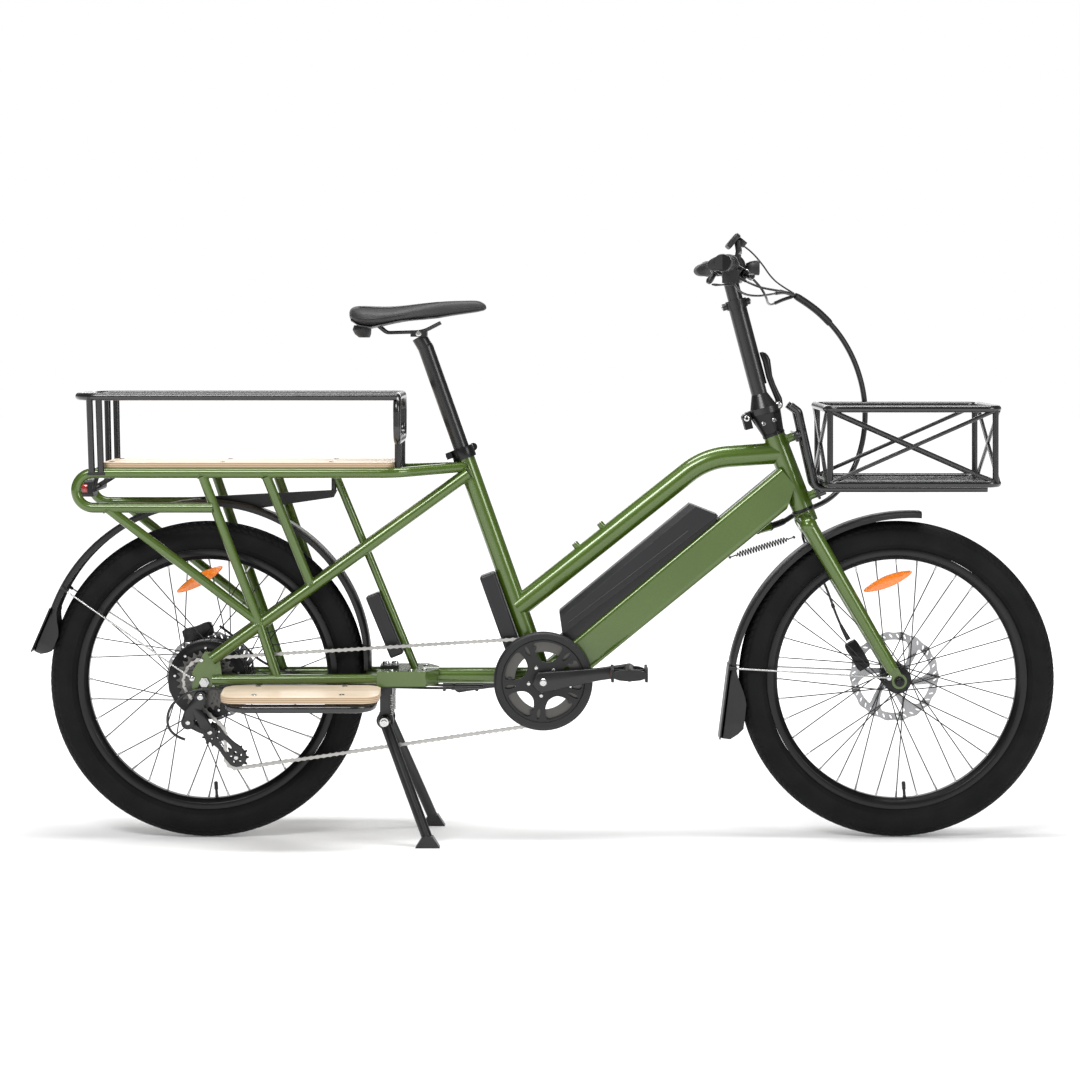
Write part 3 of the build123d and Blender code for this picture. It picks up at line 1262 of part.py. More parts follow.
# ----------------------------------------------------------------------------- output
def build_nodes():
    nodes = {}
    frame = main_frame()
    rear = rear_frame(frame)
    axle = fitted(rear_axle(), rear)
    nodes["main_frame"] = frame
    nodes["rear_frame"] = rear
    nodes["rear_axle"] = axle
    nodes["frame_bearings"] = frame_bearings()
    nodes["seat_clamp"] = seat_clamp()
    nodes["kickstand_mount"] = kickstand_mount(rear)
    nodes["rear_deck"] = deck()
    nodes["guard_rail"] = fitted(guard_rail(), rear)
    nodes["running_board_frames"] = fitted(running_board_frames(), rear)
    nodes["running_boards"] = running_boards()
    nodes["rear_fender"] = fitted(rear_fender(), rear + axle)
    nodes["battery_dock"] = battery_dock(frame)
    nodes["controller"] = controller(frame + rear)
    nodes["tail_light"] = tail_light(rear)
    nodes["basket"] = basket()
    nodes["basket_bracket"] = basket_bracket(frame)
    nodes["derailleur"] = derailleur(rear + axle)
    nodes["chain"] = chain()
    nodes["rear_brake_caliper"] = rear_brake(rear)
    nodes["frame_cables"] = frame_cables(rear)

    nodes["fork"] = fork()
    nodes["stem_base"] = stem_base()
    nodes["front_axle"] = front_axle()
    nodes["front_fender"] = fitted(front_fender(), nodes["fork"] + nodes["front_axle"])
    nodes["front_brake_caliper"] = front_brake(nodes["fork"])
    nodes["steering_spring"] = steering_spring(nodes["fork"])

    nodes["front_hub"] = front_hub()
    nodes["front_rim"] = rim(FRONT_AXLE)
    nodes["front_tyre"] = tyre(FRONT_AXLE)
    nodes["front_disc"] = disc_rotor(FRONT_AXLE, FRONT_ROTOR_Y)
    nodes["front_spokes"] = spokes(FRONT_AXLE, 24, 35.1, 28.4, 62) + [reflector(FRONT_AXLE, 97, 200)]
    nodes["hub_motor"] = hub_motor()
    nodes["rear_rim"] = rim(REAR_AXLE)
    nodes["rear_tyre"] = tyre(REAR_AXLE)
    nodes["rear_disc"] = disc_rotor(REAR_AXLE, REAR_ROTOR_Y)
    nodes["rear_spokes"] = spokes(REAR_AXLE, 78.8, 23.2, 20.8, 26) + [reflector(REAR_AXLE, 94, 200)]

    nodes["freewheel_sprockets"] = sprocket_stack()
    nodes["crankset"] = crankset()
    nodes["chainring"] = chainring()
    nodes["pedal_right"] = pedal(-1)
    nodes["pedal_left"] = pedal(1)
    nodes["jockey_upper"] = jockey(JOCKEY_UPPER)
    nodes["jockey_lower"] = jockey(JOCKEY_LOWER)

    nodes["handlepost"] = handlepost()
    nodes["stem_latch_lever"] = stem_latch()
    nodes["stem_riser"] = stem_riser()
    nodes["handlebar"] = handlebar()
    nodes["grips"] = grips()
    nodes["bar_controls"] = bar_controls()
    nodes["brake_lever_right"] = brake_lever(-1)
    nodes["brake_lever_left"] = brake_lever(1)
    nodes["shift_lever"] = shift_lever()
    nodes["throttle_lever"] = throttle()

    nodes["seatpost"] = seatpost()
    nodes["saddle"] = saddle()
    nodes["seat_quick_release"] = seat_lever()
    nodes["kickstand_legs"] = kickstand()
    nodes["battery"] = battery()
    nodes["cable_loop"] = cable_loop()
    nodes["control_cables"] = control_cables(nodes["bar_controls"])
    return nodes


os.makedirs("parts", exist_ok=True)
for node_name, node_shapes in build_nodes().items():
    node_solids = []
    for node_shape in node_shapes:
        node_solids += list(node_shape.solids())
    export_step(Compound(children=node_solids), "parts/" + node_name + ".step")

CORDS = {
    "cable loop": LOOP_ROUTE,
    "right brake hose": RIGHT_HOSE_ROUTE,
    "left brake hose": LEFT_HOSE_ROUTE,
    "shift housing at the handlebar": SHIFT_ROUTE,
    "display wire": DISPLAY_ROUTE,
    "shift housing along the frame": REAR_SHIFT_ROUTE,
    "rear brake hose": REAR_HOSE_ROUTE,
    "front brake hose": FRONT_HOSE_ROUTE,
}
for cord_name, cord_route in CORDS.items():
    print(cord_name, "arc radii", [round(radius, 1) for radius in corner_radii(cord_route)])
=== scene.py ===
import math

import bmesh
import bpy
from mathutils import Matrix, Vector


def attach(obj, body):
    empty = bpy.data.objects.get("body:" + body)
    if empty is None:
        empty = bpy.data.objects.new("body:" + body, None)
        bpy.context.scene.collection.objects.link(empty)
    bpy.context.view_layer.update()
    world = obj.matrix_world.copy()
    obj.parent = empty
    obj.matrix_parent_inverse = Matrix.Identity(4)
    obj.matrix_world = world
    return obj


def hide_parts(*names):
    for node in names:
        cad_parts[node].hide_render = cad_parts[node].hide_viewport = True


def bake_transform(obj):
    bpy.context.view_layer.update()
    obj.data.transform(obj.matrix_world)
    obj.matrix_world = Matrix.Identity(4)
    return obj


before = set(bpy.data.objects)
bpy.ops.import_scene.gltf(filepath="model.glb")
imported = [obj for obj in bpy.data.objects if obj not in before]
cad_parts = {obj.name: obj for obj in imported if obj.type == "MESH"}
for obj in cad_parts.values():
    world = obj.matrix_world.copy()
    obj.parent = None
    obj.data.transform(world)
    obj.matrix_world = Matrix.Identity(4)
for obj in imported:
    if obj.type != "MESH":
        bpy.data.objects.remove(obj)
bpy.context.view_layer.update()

# The CAD part's own driving dimensions, in metres.
TYRE_RADIUS = 0.3145
TYRE_SECTION = 0.0305
REAR_AXLE = Vector((-0.668, 0, TYRE_RADIUS))
FRONT_AXLE = Vector((0.704, 0, TYRE_RADIUS))
BOTTOM_BRACKET = Vector((0, 0, 0.315))
PITCH = 0.0127
CHAIN_Y = -0.0452
CRANK = 0.170
DRIVE_TEETH = 22
JOCKEYS = {"jockey_upper": (-0.652, 0.209), "jockey_lower": (-0.608, 0.163)}


def vec(*values):
    return Vector(values)


def lean(degrees):
    angle = math.radians(degrees)
    return vec(-math.sin(angle), 0, math.cos(angle))


def square_to(direction):
    return vec(direction.z, 0, -direction.x)


SEAT_UP = lean(19.6)
SEAT_TOP = BOTTOM_BRACKET + SEAT_UP * 0.478
HEAD_UP = lean(21.3)
HEAD_BOTTOM = vec(0.517, 0, 0.654)
HEAD_TOP = HEAD_BOTTOM + HEAD_UP * 0.156
POST_UP = lean(14.8)
POST_FORE = square_to(POST_UP)
FOLD_PLANE = HEAD_TOP + HEAD_UP * 0.0475
FOLD_HINGE = FOLD_PLANE - POST_FORE * 0.040
LATCH_PIVOT = FOLD_PLANE + POST_FORE * 0.029 + POST_UP * 0.0095
POST_TOP = FOLD_PLANE + POST_UP * 0.232
BAR_CENTRE = POST_TOP + POST_UP * 0.068 + POST_FORE * 0.015
BAR_HALF, BAR_END_X, BAR_R = 0.322, 0.341, 0.0111
LEVER_OUT = vec(math.cos(math.radians(35)), 0, -math.sin(math.radians(35)))
LEVER_UP = vec(math.sin(math.radians(35)), 0, math.cos(math.radians(35)))
STAND_PIVOT = vec(-0.314, 0, 0.235)
ACROSS = vec(0, 1, 0)
SIDE_VIEW = Matrix(((1, 0, 0), (0, 0, -1), (0, 1, 0))).to_4x4()


# ----------------------------------------------------------------------------- camera
def camera():
    data = bpy.data.cameras.new("camera")
    data.sensor_width = 36.0
    data.lens = 106.9
    data.shift_x, data.shift_y = -0.0185, -0.1944
    data.clip_end = 60.0
    place = add_object("camera", data)
    place.location = (0.0331, -6.4, 1.0094)
    place.rotation_euler = (math.radians(90), 0, 0)
    bpy.context.scene.camera = place


# -------------------------------------------------------------------------- materials
class Nodes:
    """A principled material that is built up node by node."""

    def __init__(self, name):
        self.material = bpy.data.materials.new(name)
        self.material.use_nodes = True
        self.tree = self.material.node_tree
        self.shader = self.tree.nodes["Principled BSDF"]
        self.coordinates = None

    def set(self, **values):
        for key, value in values.items():
            self.shader.inputs[key.replace("_", " ")].default_value = value
        return self

    def feed(self, socket, value):
        """Link a socket to another node's output, or set it to a value or a colour."""
        if hasattr(value, "is_output"):
            self.tree.links.new(value, socket)
        elif socket.type == "RGBA" and len(value) == 3:
            socket.default_value = (*value, 1)
        else:
            socket.default_value = value

    def add(self, kind, **inputs):
        node = self.tree.nodes.new(kind)
        for key, value in inputs.items():
            self.feed(node.inputs[key.replace("_", " ")], value)
        return node

    def place(self, scale=(1, 1, 1)):
        """Object coordinates, stretched along each axis."""
        if self.coordinates is None:
            self.coordinates = self.add("ShaderNodeTexCoord")
        mapping = self.add("ShaderNodeMapping", Vector=self.coordinates.outputs["Object"], Scale=scale)
        return mapping.outputs["Vector"]

    def noise(self, scale, detail=3.0, rough=0.5, stretch=(1, 1, 1)):
        return self.add("ShaderNodeTexNoise", Vector=self.place(stretch), Scale=scale, Detail=detail,
                        Roughness=rough).outputs["Fac"]

    def cells(self, scale, output="Distance"):
        return self.add("ShaderNodeTexVoronoi", Vector=self.place(), Scale=scale).outputs[output]

    def ramp(self, value, *stops):
        node = self.add("ShaderNodeValToRGB", Fac=value)
        ramp = node.color_ramp
        while len(ramp.elements) < len(stops):
            ramp.elements.new(0.5)
        for element, (position, colour) in zip(ramp.elements, stops):
            element.position, element.color = position, (*colour, 1)
        return node.outputs["Color"]

    def span(self, value, low, high, source=(0.0, 1.0)):
        return self.add("ShaderNodeMapRange", Value=value, From_Min=source[0], From_Max=source[1], To_Min=low,
                        To_Max=high).outputs["Result"]

    def math(self, operation, a, b=0.0):
        node = self.add("ShaderNodeMath")
        node.operation = operation
        for socket, value in zip(node.inputs, (a, b)):
            self.feed(socket, value)
        return node.outputs[0]

    def mix(self, factor, a, b):
        node = self.add("ShaderNodeMix")
        node.data_type = "RGBA"
        for index, value in ((0, factor), (6, a), (7, b)):
            self.feed(node.inputs[index], value)
        return node.outputs[2]

    def drive(self, socket, value):
        self.feed(self.shader.inputs[socket], value)

    def bump(self, height, strength, distance=0.001):
        node = self.add("ShaderNodeBump", Height=height, Strength=strength, Distance=distance)
        self.drive("Normal", node.outputs["Normal"])


def shade(colour, factor):
    return tuple(c * factor for c in colour)


def coated(name, colour, metallic, rough, coat=0.0, coat_rough=0.05, grain=900.0, bump=0.02):
    """Painted, anodised or moulded finish: fine grain in its colour, roughness and bump."""
    n = Nodes(name)
    n.set(Metallic=metallic, Coat_Weight=coat, Coat_Roughness=coat_rough)
    cloud = n.noise(9.0, 4.0)
    fine = n.noise(grain, 2.0)
    base = n.ramp(cloud, (0.3, shade(colour, 0.88)), (0.7, shade(colour, 1.12)))
    n.drive("Base Color", n.mix(n.span(fine, 0.0, 0.35), base, shade(colour, 1.6)))
    n.drive("Roughness", n.span(n.noise(35.0, 5.0), rough * 0.85, rough * 1.2))
    n.bump(fine, bump, 0.0004)
    return n.material


def green_paint():
    """Metallic moss green under clear lacquer, with fine flakes."""
    n = Nodes("green_paint")
    green = (0.050, 0.098, 0.003)
    n.set(Metallic=0.35, Coat_Weight=1.0, Coat_Roughness=0.10, Coat_IOR=1.5)
    flakes = n.cells(2600.0, output="Color")
    bright = n.add("ShaderNodeSeparateColor", Color=flakes).outputs[0]
    sparkle = n.span(n.math("POWER", bright, 6.0), 0.0, 0.55)
    cloud = n.noise(6.0, 3.0)
    base = n.ramp(cloud, (0.3, shade(green, 0.92)), (0.7, shade(green, 1.08)))
    n.drive("Base Color", n.mix(sparkle, base, (0.13, 0.21, 0.015)))
    n.drive("Roughness", n.span(n.noise(60.0, 4.0), 0.30, 0.42))
    n.bump(n.noise(240.0, 3.0), 0.0025, 0.0006)
    return n.material


def metal(name, colour, rough, scratch=(1, 1, 1), anisotropic=0.0, bump=0.03):
    """Bare metal with fine scratches along its stretch."""
    n = Nodes(name)
    n.set(Metallic=1.0, Anisotropic=anisotropic)
    fine = n.noise(700.0, 4.0, 0.6, scratch)
    cloud = n.noise(14.0, 4.0)
    base = n.ramp(cloud, (0.25, shade(colour, 0.82)), (0.75, colour))
    n.drive("Base Color", n.mix(n.span(fine, 0.0, 0.25), base, shade(colour, 0.7)))
    n.drive("Roughness", n.span(fine, rough * 0.7, rough * 1.5))
    n.bump(fine, bump, 0.0003)
    return n.material


def tyre_rubber():
    n = Nodes("tyre_rubber")
    n.set(Specular_IOR_Level=0.14)
    fine, dust = n.noise(420.0, 4.0, 0.65), n.noise(22.0, 5.0)
    n.drive("Base Color", n.ramp(dust, (0.3, (0.0035, 0.0036, 0.0038)), (0.75, (0.0075, 0.0076, 0.0078))))
    n.drive("Roughness", n.span(fine, 0.5, 0.8))
    n.bump(fine, 0.12, 0.0006)
    return n.material


def plywood():
    """Varnished birch: long grain on the faces, and the veneers' layers on the edges."""
    n = Nodes("plywood")
    n.set(Coat_Weight=0.25, Coat_Roughness=0.25)
    grain = n.noise(34.0, 7.0, 0.62, (0.35, 7.0, 1.0))
    rings = n.noise(9.0, 3.0, 0.5, (0.25, 3.0, 1.0))
    pores = n.noise(300.0, 3.0, 0.6, (0.12, 3.0, 1.0))
    face = n.ramp(grain, (0.28, (0.56, 0.44, 0.315)), (0.5, (0.72, 0.60, 0.465)), (0.75, (0.79, 0.69, 0.565)))
    face = n.mix(n.span(rings, 0.0, 0.5, (0.35, 0.75)), face, (0.60, 0.44, 0.28))
    face = n.mix(n.span(pores, 0.0, 0.4, (0.55, 0.8)), face, (0.40, 0.27, 0.16))
    height = n.add("ShaderNodeSeparateXYZ", Vector=n.coordinates.outputs["Object"]).outputs["Z"]
    layer = n.math("PINGPONG", n.math("MULTIPLY", height, 555.0), 1.0)
    edge = n.ramp(layer, (0.35, (0.62, 0.47, 0.31)), (0.6, (0.30, 0.19, 0.11)))
    edge = n.mix(n.span(grain, 0.0, 0.5), edge, (0.50, 0.36, 0.23))
    normal = n.add("ShaderNodeNewGeometry").outputs["True Normal"]
    upward = n.math("ABSOLUTE", n.add("ShaderNodeSeparateXYZ", Vector=normal).outputs["Z"])
    n.drive("Base Color", n.mix(n.math("GREATER_THAN", upward, 0.7), edge, face))
    n.drive("Roughness", n.span(grain, 0.38, 0.55))
    n.bump(pores, 0.08, 0.0005)
    return n.material


def vinyl():
    """Black saddle cover with a fine leather grain."""
    n = Nodes("saddle_vinyl")
    n.set(Specular_IOR_Level=0.45, Sheen_Weight=0.08, Sheen_Roughness=0.5)
    pebbles = n.cells(520.0)
    wear = n.noise(18.0, 4.0)
    n.drive("Base Color", n.ramp(wear, (0.3, (0.012, 0.012, 0.013)), (0.7, (0.022, 0.022, 0.023))))
    n.drive("Roughness", n.span(pebbles, 0.42, 0.62))
    n.bump(pebbles, 0.35, 0.0004)
    return n.material


def lens(name, colour, deep, scale=260.0):
    """Reflector plastic: small prisms under a clear face."""
    n = Nodes(name)
    n.set(Coat_Weight=1.0, Coat_Roughness=0.03, Specular_IOR_Level=0.6)
    prisms = n.cells(scale)
    n.drive("Base Color", n.ramp(prisms, (0.0, colour), (0.6, deep)))
    n.drive("Roughness", n.span(prisms, 0.12, 0.3))
    n.bump(prisms, 0.5, 0.0012)
    return n.material


def dark_glass():
    n = Nodes("dark_glass")
    n.set(Coat_Weight=1.0, Coat_Roughness=0.02)
    dust = n.noise(90.0, 4.0)
    n.drive("Base Color", n.ramp(dust, (0.3, (0.004, 0.005, 0.006)), (0.7, (0.009, 0.010, 0.012))))
    n.drive("Roughness", n.span(dust, 0.08, 0.16))
    return n.material


def floor_paper():
    n = Nodes("floor_paper")
    n.set(Specular_IOR_Level=0.1, Emission_Color=(1, 1, 1, 1))
    n.drive("Base Color", n.ramp(n.noise(3.0), (0.3, (0.83, 0.83, 0.83)), (0.7, (0.85, 0.85, 0.85))))
    n.drive("Roughness", n.span(n.noise(50.0), 0.8, 0.95))
    away = n.add("ShaderNodeVectorMath", Vector=n.coordinates.outputs["Object"])
    away.operation = "LENGTH"
    n.drive("Emission Strength", n.span(away.outputs["Value"], 0.12, 0.95, (1.0, 4.0)))
    return n.material


M = {
    "green": green_paint(),
    "gloss_black": coated("gloss_black", (0.0035, 0.0035, 0.004), 0.0, 0.25, 0.6, 0.22, bump=0.0012),
    "satin_black": coated("satin_black", (0.0055, 0.0055, 0.006), 0.2, 0.34, 0.3, 0.2),
    "anodised": coated("anodised", (0.009, 0.009, 0.0095), 0.6, 0.30, 0.15, 0.2, 1500.0),
    "black_plastic": coated("black_plastic", (0.005, 0.005, 0.0055), 0.0, 0.42, grain=700.0, bump=0.10),
    "case_plastic": coated("case_plastic", (0.0055, 0.0055, 0.0068), 0.0, 0.36, grain=520.0, bump=0.12),
    "grip_rubber": coated("grip_rubber", (0.006, 0.006, 0.006), 0.0, 0.55, grain=500.0, bump=0.2),
    "cable_black": coated("cable_black", (0.005, 0.005, 0.005), 0.0, 0.34, 0.3, 0.2, 600.0),
    "spoke_black": coated("spoke_black", (0.006, 0.006, 0.006), 0.1, 0.45),
    "steel": metal("steel", (0.62, 0.62, 0.61), 0.26),
    "disc_steel": metal("disc_steel", (0.36, 0.36, 0.37), 0.24, (1, 1, 1), 0.4),
    "chain_steel": metal("chain_steel", (0.50, 0.49, 0.47), 0.28),
    "screw": metal("screw_steel", (0.66, 0.66, 0.65), 0.2),
    "cog_steel": metal("cog_steel", (0.13, 0.127, 0.12), 0.34),
    "tyre": tyre_rubber(),
    "plywood": plywood(),
    "vinyl": vinyl(),
    "amber": lens("amber_reflector", (0.95, 0.27, 0.004), (0.78, 0.17, 0.002)),
    "red": lens("red_lens", (0.50, 0.012, 0.014), (0.22, 0.004, 0.006), 180.0),
    "glass": dark_glass(),
    "clear": lens("clear_lens", (0.62, 0.64, 0.66), (0.30, 0.31, 0.33), 320.0),
}

# The CAD nodes by material and by the bevel along their sharp edges, in millimetres. Those that a piece made
# here stands for are hidden later on.
CARRIED = {
    ("green", 0.0): "main_frame rear_frame fork",
    ("gloss_black", 0.0): "guard_rail running_board_frames basket basket_bracket",
    ("satin_black", 0.0): "handlepost stem_riser handlebar seatpost kickstand_legs",
    ("satin_black", 0.3): "steering_spring",
    ("satin_black", 0.6): "derailleur",
    ("satin_black", 0.8): "kickstand_mount",
    ("satin_black", 1.5): "crankset",
    ("anodised", 0.5): "front_axle frame_bearings front_hub front_rim rear_rim brake_lever_right brake_lever_left "
                       "seat_quick_release",
    ("anodised", 0.6): "seat_clamp",
    ("anodised", 0.8): "rear_brake_caliper front_brake_caliper stem_base hub_motor",
    ("anodised", 1.0): "stem_latch_lever",
    ("steel", 0.5): "rear_axle",
    ("disc_steel", 0.2): "front_disc rear_disc",
    ("cog_steel", 0.2): "freewheel_sprockets",
    ("chain_steel", 0.0): "chain",
    ("spoke_black", 0.0): "front_spokes rear_spokes",
    ("cable_black", 0.0): "frame_cables cable_loop control_cables",
    ("tyre", 0.0): "front_tyre rear_tyre",
    ("plywood", 1.2): "rear_deck running_boards",
    ("case_plastic", 1.5): "battery",
    ("case_plastic", 1.0): "battery_dock controller",
    ("black_plastic", 0.2): "jockey_upper jockey_lower",
    ("black_plastic", 0.4): "rear_fender front_fender",
    ("black_plastic", 0.5): "chainring shift_lever throttle_lever",
    ("black_plastic", 0.8): "tail_light bar_controls",
    ("black_plastic", 1.0): "pedal_right pedal_left",
    ("grip_rubber", 0.8): "grips",
    ("vinyl", 2.0): "saddle",
}
# The kind of surface that each material stands for, where a piece doesn't name its own.
SLOTS = {
    "green": "frame_paint", "gloss_black": "black_metal", "spoke_black": "black_metal", "anodised": "black_alloy",
    "satin_black": "black_alloy", "steel": "steel", "disc_steel": "steel", "chain_steel": "steel",
    "cog_steel": "steel", "screw": "steel", "clear": "steel", "black_plastic": "black_plastic",
    "glass": "black_plastic", "grip_rubber": "rubber", "cable_black": "rubber", "tyre": "tyre",
    "vinyl": "saddle_cover", "red": "lens_red",
}


def soften_edges(piece, bevel, angle):
    """Bevel the edges sharper than the angle; bevel is in millimetres."""
    edge = piece.modifiers.new("edges", "BEVEL")
    edge.width, edge.segments = bevel / 1000, 2
    edge.limit_method, edge.angle_limit = "ANGLE", math.radians(angle)


def carry_nodes():
    """Give the CAD nodes their materials, and weld and bevel the sharp-edged ones by modifiers."""
    for (material, bevel), names in CARRIED.items():
        for name in names.split():
            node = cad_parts[name]
            node.data.materials.clear()
            node.data.materials.append(M[material])
            if bevel:
                node.modifiers.new("weld", "WELD").merge_threshold = 0.00001
                soften_edges(node, bevel, 32)


# ------------------------------------------------------------------------ mesh making
def at(x, y, z):
    """A point given in millimetres."""
    return vec(x, y, z) / 1000


def rounded(points, times=3):
    """A closed outline with its corners cut back a few times."""
    for _ in range(times):
        cut = []
        for a, b in zip(points, points[1:] + points[:1]):
            cut += [a.lerp(b, 0.25), a.lerp(b, 0.75)]
        points = cut
    return points


def turns(count):
    """Cosine and sine of evenly spaced directions, once round."""
    for k in range(count):
        a = 2 * math.pi * k / count
        yield math.cos(a), math.sin(a)


def circle(radius, count=32, centre=(0, 0), squash=1.0, turn=0.0):
    """A round or oval outline."""
    c, s = math.cos(turn), math.sin(turn)
    points = ((radius * x, radius * squash * y) for x, y in turns(count))
    return [vec(centre[0] + x * c - y * s, centre[1] + x * s + y * c) for x, y in points]


def rectangle(x, y):
    """Corners of a rectangle of twice x by twice y, about the origin."""
    return [vec(-x, -y), vec(x, -y), vec(x, y), vec(-x, y)]


def superellipse(count, power):
    """Cosine and sine once round, squared off by a power below one."""
    for c, s in turns(count):
        yield math.copysign(abs(c) ** power, c), math.copysign(abs(s) ** power, s)


def side_plane(point):
    """Plane seen from the right-hand side, through a point."""
    return Matrix.Translation(point) @ SIDE_VIEW


def add_object(name, data):
    obj = bpy.data.objects.new(name, data)
    bpy.context.scene.collection.objects.link(obj)
    return obj


def axes(origin, x, y, z):
    """Matrix with its origin at a point and its axes along three directions."""
    return Matrix.Translation(origin) @ Matrix((x, y, z)).transposed().to_4x4()


def frame_at(origin, normal, up=(0, 1, 0)):
    """Matrix whose Z axis is normal and whose Y axis lies near up."""
    z = Vector(normal).normalized()
    x = Vector(up).cross(z)
    if x.length < 1e-6:
        x = vec(1, 0, 0)
    x.normalize()
    return axes(origin, x, z.cross(x), z)


def ring_profile(inner, outer, height, ease=0.0, chamfer=0.0):
    """Section of a ring; its outer corners can be cut by ease in radius and chamfer in height."""
    if not ease:
        return [(inner, 0), (outer, 0), (outer, height), (inner, height)]
    return [(inner, 0), (outer - ease, 0), (outer, chamfer), (outer, height - chamfer), (outer - ease, height),
            (inner, height)]


def cap_profile(radius, height, ease, chamfer):
    """Section of a disc whose upper corner is cut by ease in radius and chamfer in height."""
    return [(0, 0), (radius, 0), (radius, height - chamfer), (radius - ease, height), (0, height)]


def turned(origin, axis):
    """Matrix of a turned body whose Z axis runs along axis."""
    return frame_at(origin, axis, (0, 1, 0) if abs(Vector(axis).normalized().y) < 0.9 else (1, 0, 0))


class Shape:
    """Closed solids gathered into one mesh."""

    def __init__(self):
        self.bm = bmesh.new()

    def ring(self, points):
        return [self.bm.verts.new(p) for p in points]

    def skin(self, a, b):
        count = max(len(a), len(b))
        for k in range(count):
            quad = (a[k % len(a)], a[(k + 1) % len(a)], b[(k + 1) % len(b)], b[k % len(b)])
            corners = list(dict.fromkeys(quad))
            if len(corners) > 2:
                self.bm.faces.new(corners)

    def loft(self, sections, capped=True, closed=False):
        """Skin over a row of outlines that have the same number of points."""
        rings = [self.ring(s) for s in sections]
        for a, b in zip(rings, rings[1:]):
            self.skin(a, b)
        if closed:
            self.skin(rings[-1], rings[0])
        elif capped:
            for end in (rings[0], rings[-1]):
                if len(end) > 2:
                    self.bm.faces.new(end)
        return self

    def lathe(self, origin, axis, profile, segments=32, closed=False):
        """Turned body from (radius, height) points along an axis."""
        place = turned(origin, axis)
        sections = [[place @ vec(0, 0, height)] if radius < 1e-7 else
                    [place @ vec(radius * c, radius * s, height) for c, s in turns(segments)]
                    for radius, height in profile]
        return self.loft(sections, capped=not closed, closed=closed)

    def rod(self, a, b, radius, end_radius=None, segments=20, soft=0.0):
        """Round bar from a to b, with its ends eased by soft."""
        a, b = Vector(a), Vector(b)
        length, last = (b - a).length, radius if end_radius is None else end_radius
        profile = [(radius - soft, 0), (radius, soft), (last, length - soft), (last - soft, length)]
        if not soft:
            profile = [(radius, 0), (last, length)]
        return self.lathe(a, b - a, profile, segments)

    def tube(self, points, radius, segments=12, flat=1.0, up=(0, 1, 0), capped=True, closed=False):
        """Skin round a path, with a round or flattened section; radius is one value or one per point."""
        points = [Vector(p) for p in points]
        sizes = radius if isinstance(radius, (list, tuple)) else [radius] * len(points)
        sections, side = [], Vector(up).normalized()
        count = len(points)
        for i, point in enumerate(points):
            before = points[(i - 1) % count] if closed else points[max(i - 1, 0)]
            after = points[(i + 1) % count] if closed else points[min(i + 1, count - 1)]
            forward = (after - before).normalized()
            side = (side - forward * side.dot(forward)).normalized()
            other = forward.cross(side)
            sections.append([point + side * (sizes[i] * flat * c) + other * (sizes[i] * s)
                             for c, s in turns(segments)])
        return self.loft(sections, capped, closed)

    def prism(self, outline, place, low, high):
        """Flat outline in the place's XY plane, raised from low to high."""
        return self.stack(outline, place, ((1, low), (1, high)))

    def stack(self, outline, place, levels):
        """One outline at several (scale, height) levels above the place's XY plane."""
        return self.loft([[place @ vec(p[0] * scale, p[1] * scale, height) for p in outline]
                          for scale, height in levels])

    def block(self, place, size):
        """Box centred on the place, with its upright edges cut back."""
        x, y, z = (s / 2 for s in size)
        corner = min(x, y) * 0.35
        sides = rectangle(x, y)
        outline = [p for a, b in zip(sides, sides[1:] + sides[:1])
                   for p in (a + (b - a).normalized() * corner, b - (b - a).normalized() * corner)]
        return self.prism(rounded(outline, 1), place, -z, z)

    def bolt(self, origin, axis, radius, height, segments=24):
        """Domed screw head with a six-sided socket."""
        place = turned(origin, axis)
        rings = []
        for size, level, six_sided in ((1, 0, False), (1, 0.55, False), (0.86, 0.9, False), (0.62, 1, False),
                                       (0.52, 1, True), (0.50, 0.45, True)):
            points = []
            for k in range(segments):
                a = 2 * math.pi * k / segments
                flat = math.cos(math.pi / 6) / math.cos(a % (math.pi / 3) - math.pi / 6) if six_sided else 1.0
                r = radius * size * flat
                points.append(place @ vec(r * math.cos(a), r * math.sin(a), height * level))
            rings.append(points)
        return self.loft(rings)

    def sheet(self, outline, holes, place, low, high):
        """Flat plate with holes, in the place's XY plane, from low to high."""
        data = bpy.data.curves.new("outline", "CURVE")
        data.dimensions, data.fill_mode = "2D", "BOTH"
        for loop in [outline] + list(holes):
            spline = data.splines.new("POLY")
            spline.points.add(len(loop) - 1)
            for point, p in zip(spline.points, loop):
                point.co = (p[0], p[1], 0, 1)
            spline.use_cyclic_u = True
        data.extrude = (high - low) / 2
        holder = add_object("outline", data)
        bpy.context.view_layer.update()
        mesh = bpy.data.meshes.new_from_object(holder.evaluated_get(bpy.context.evaluated_depsgraph_get()))
        mesh.transform(place @ Matrix.Translation((0, 0, (high + low) / 2)))
        self.bm.from_mesh(mesh)
        bpy.data.objects.remove(holder)
        bpy.data.curves.remove(data)
        bpy.data.meshes.remove(mesh)
        return self

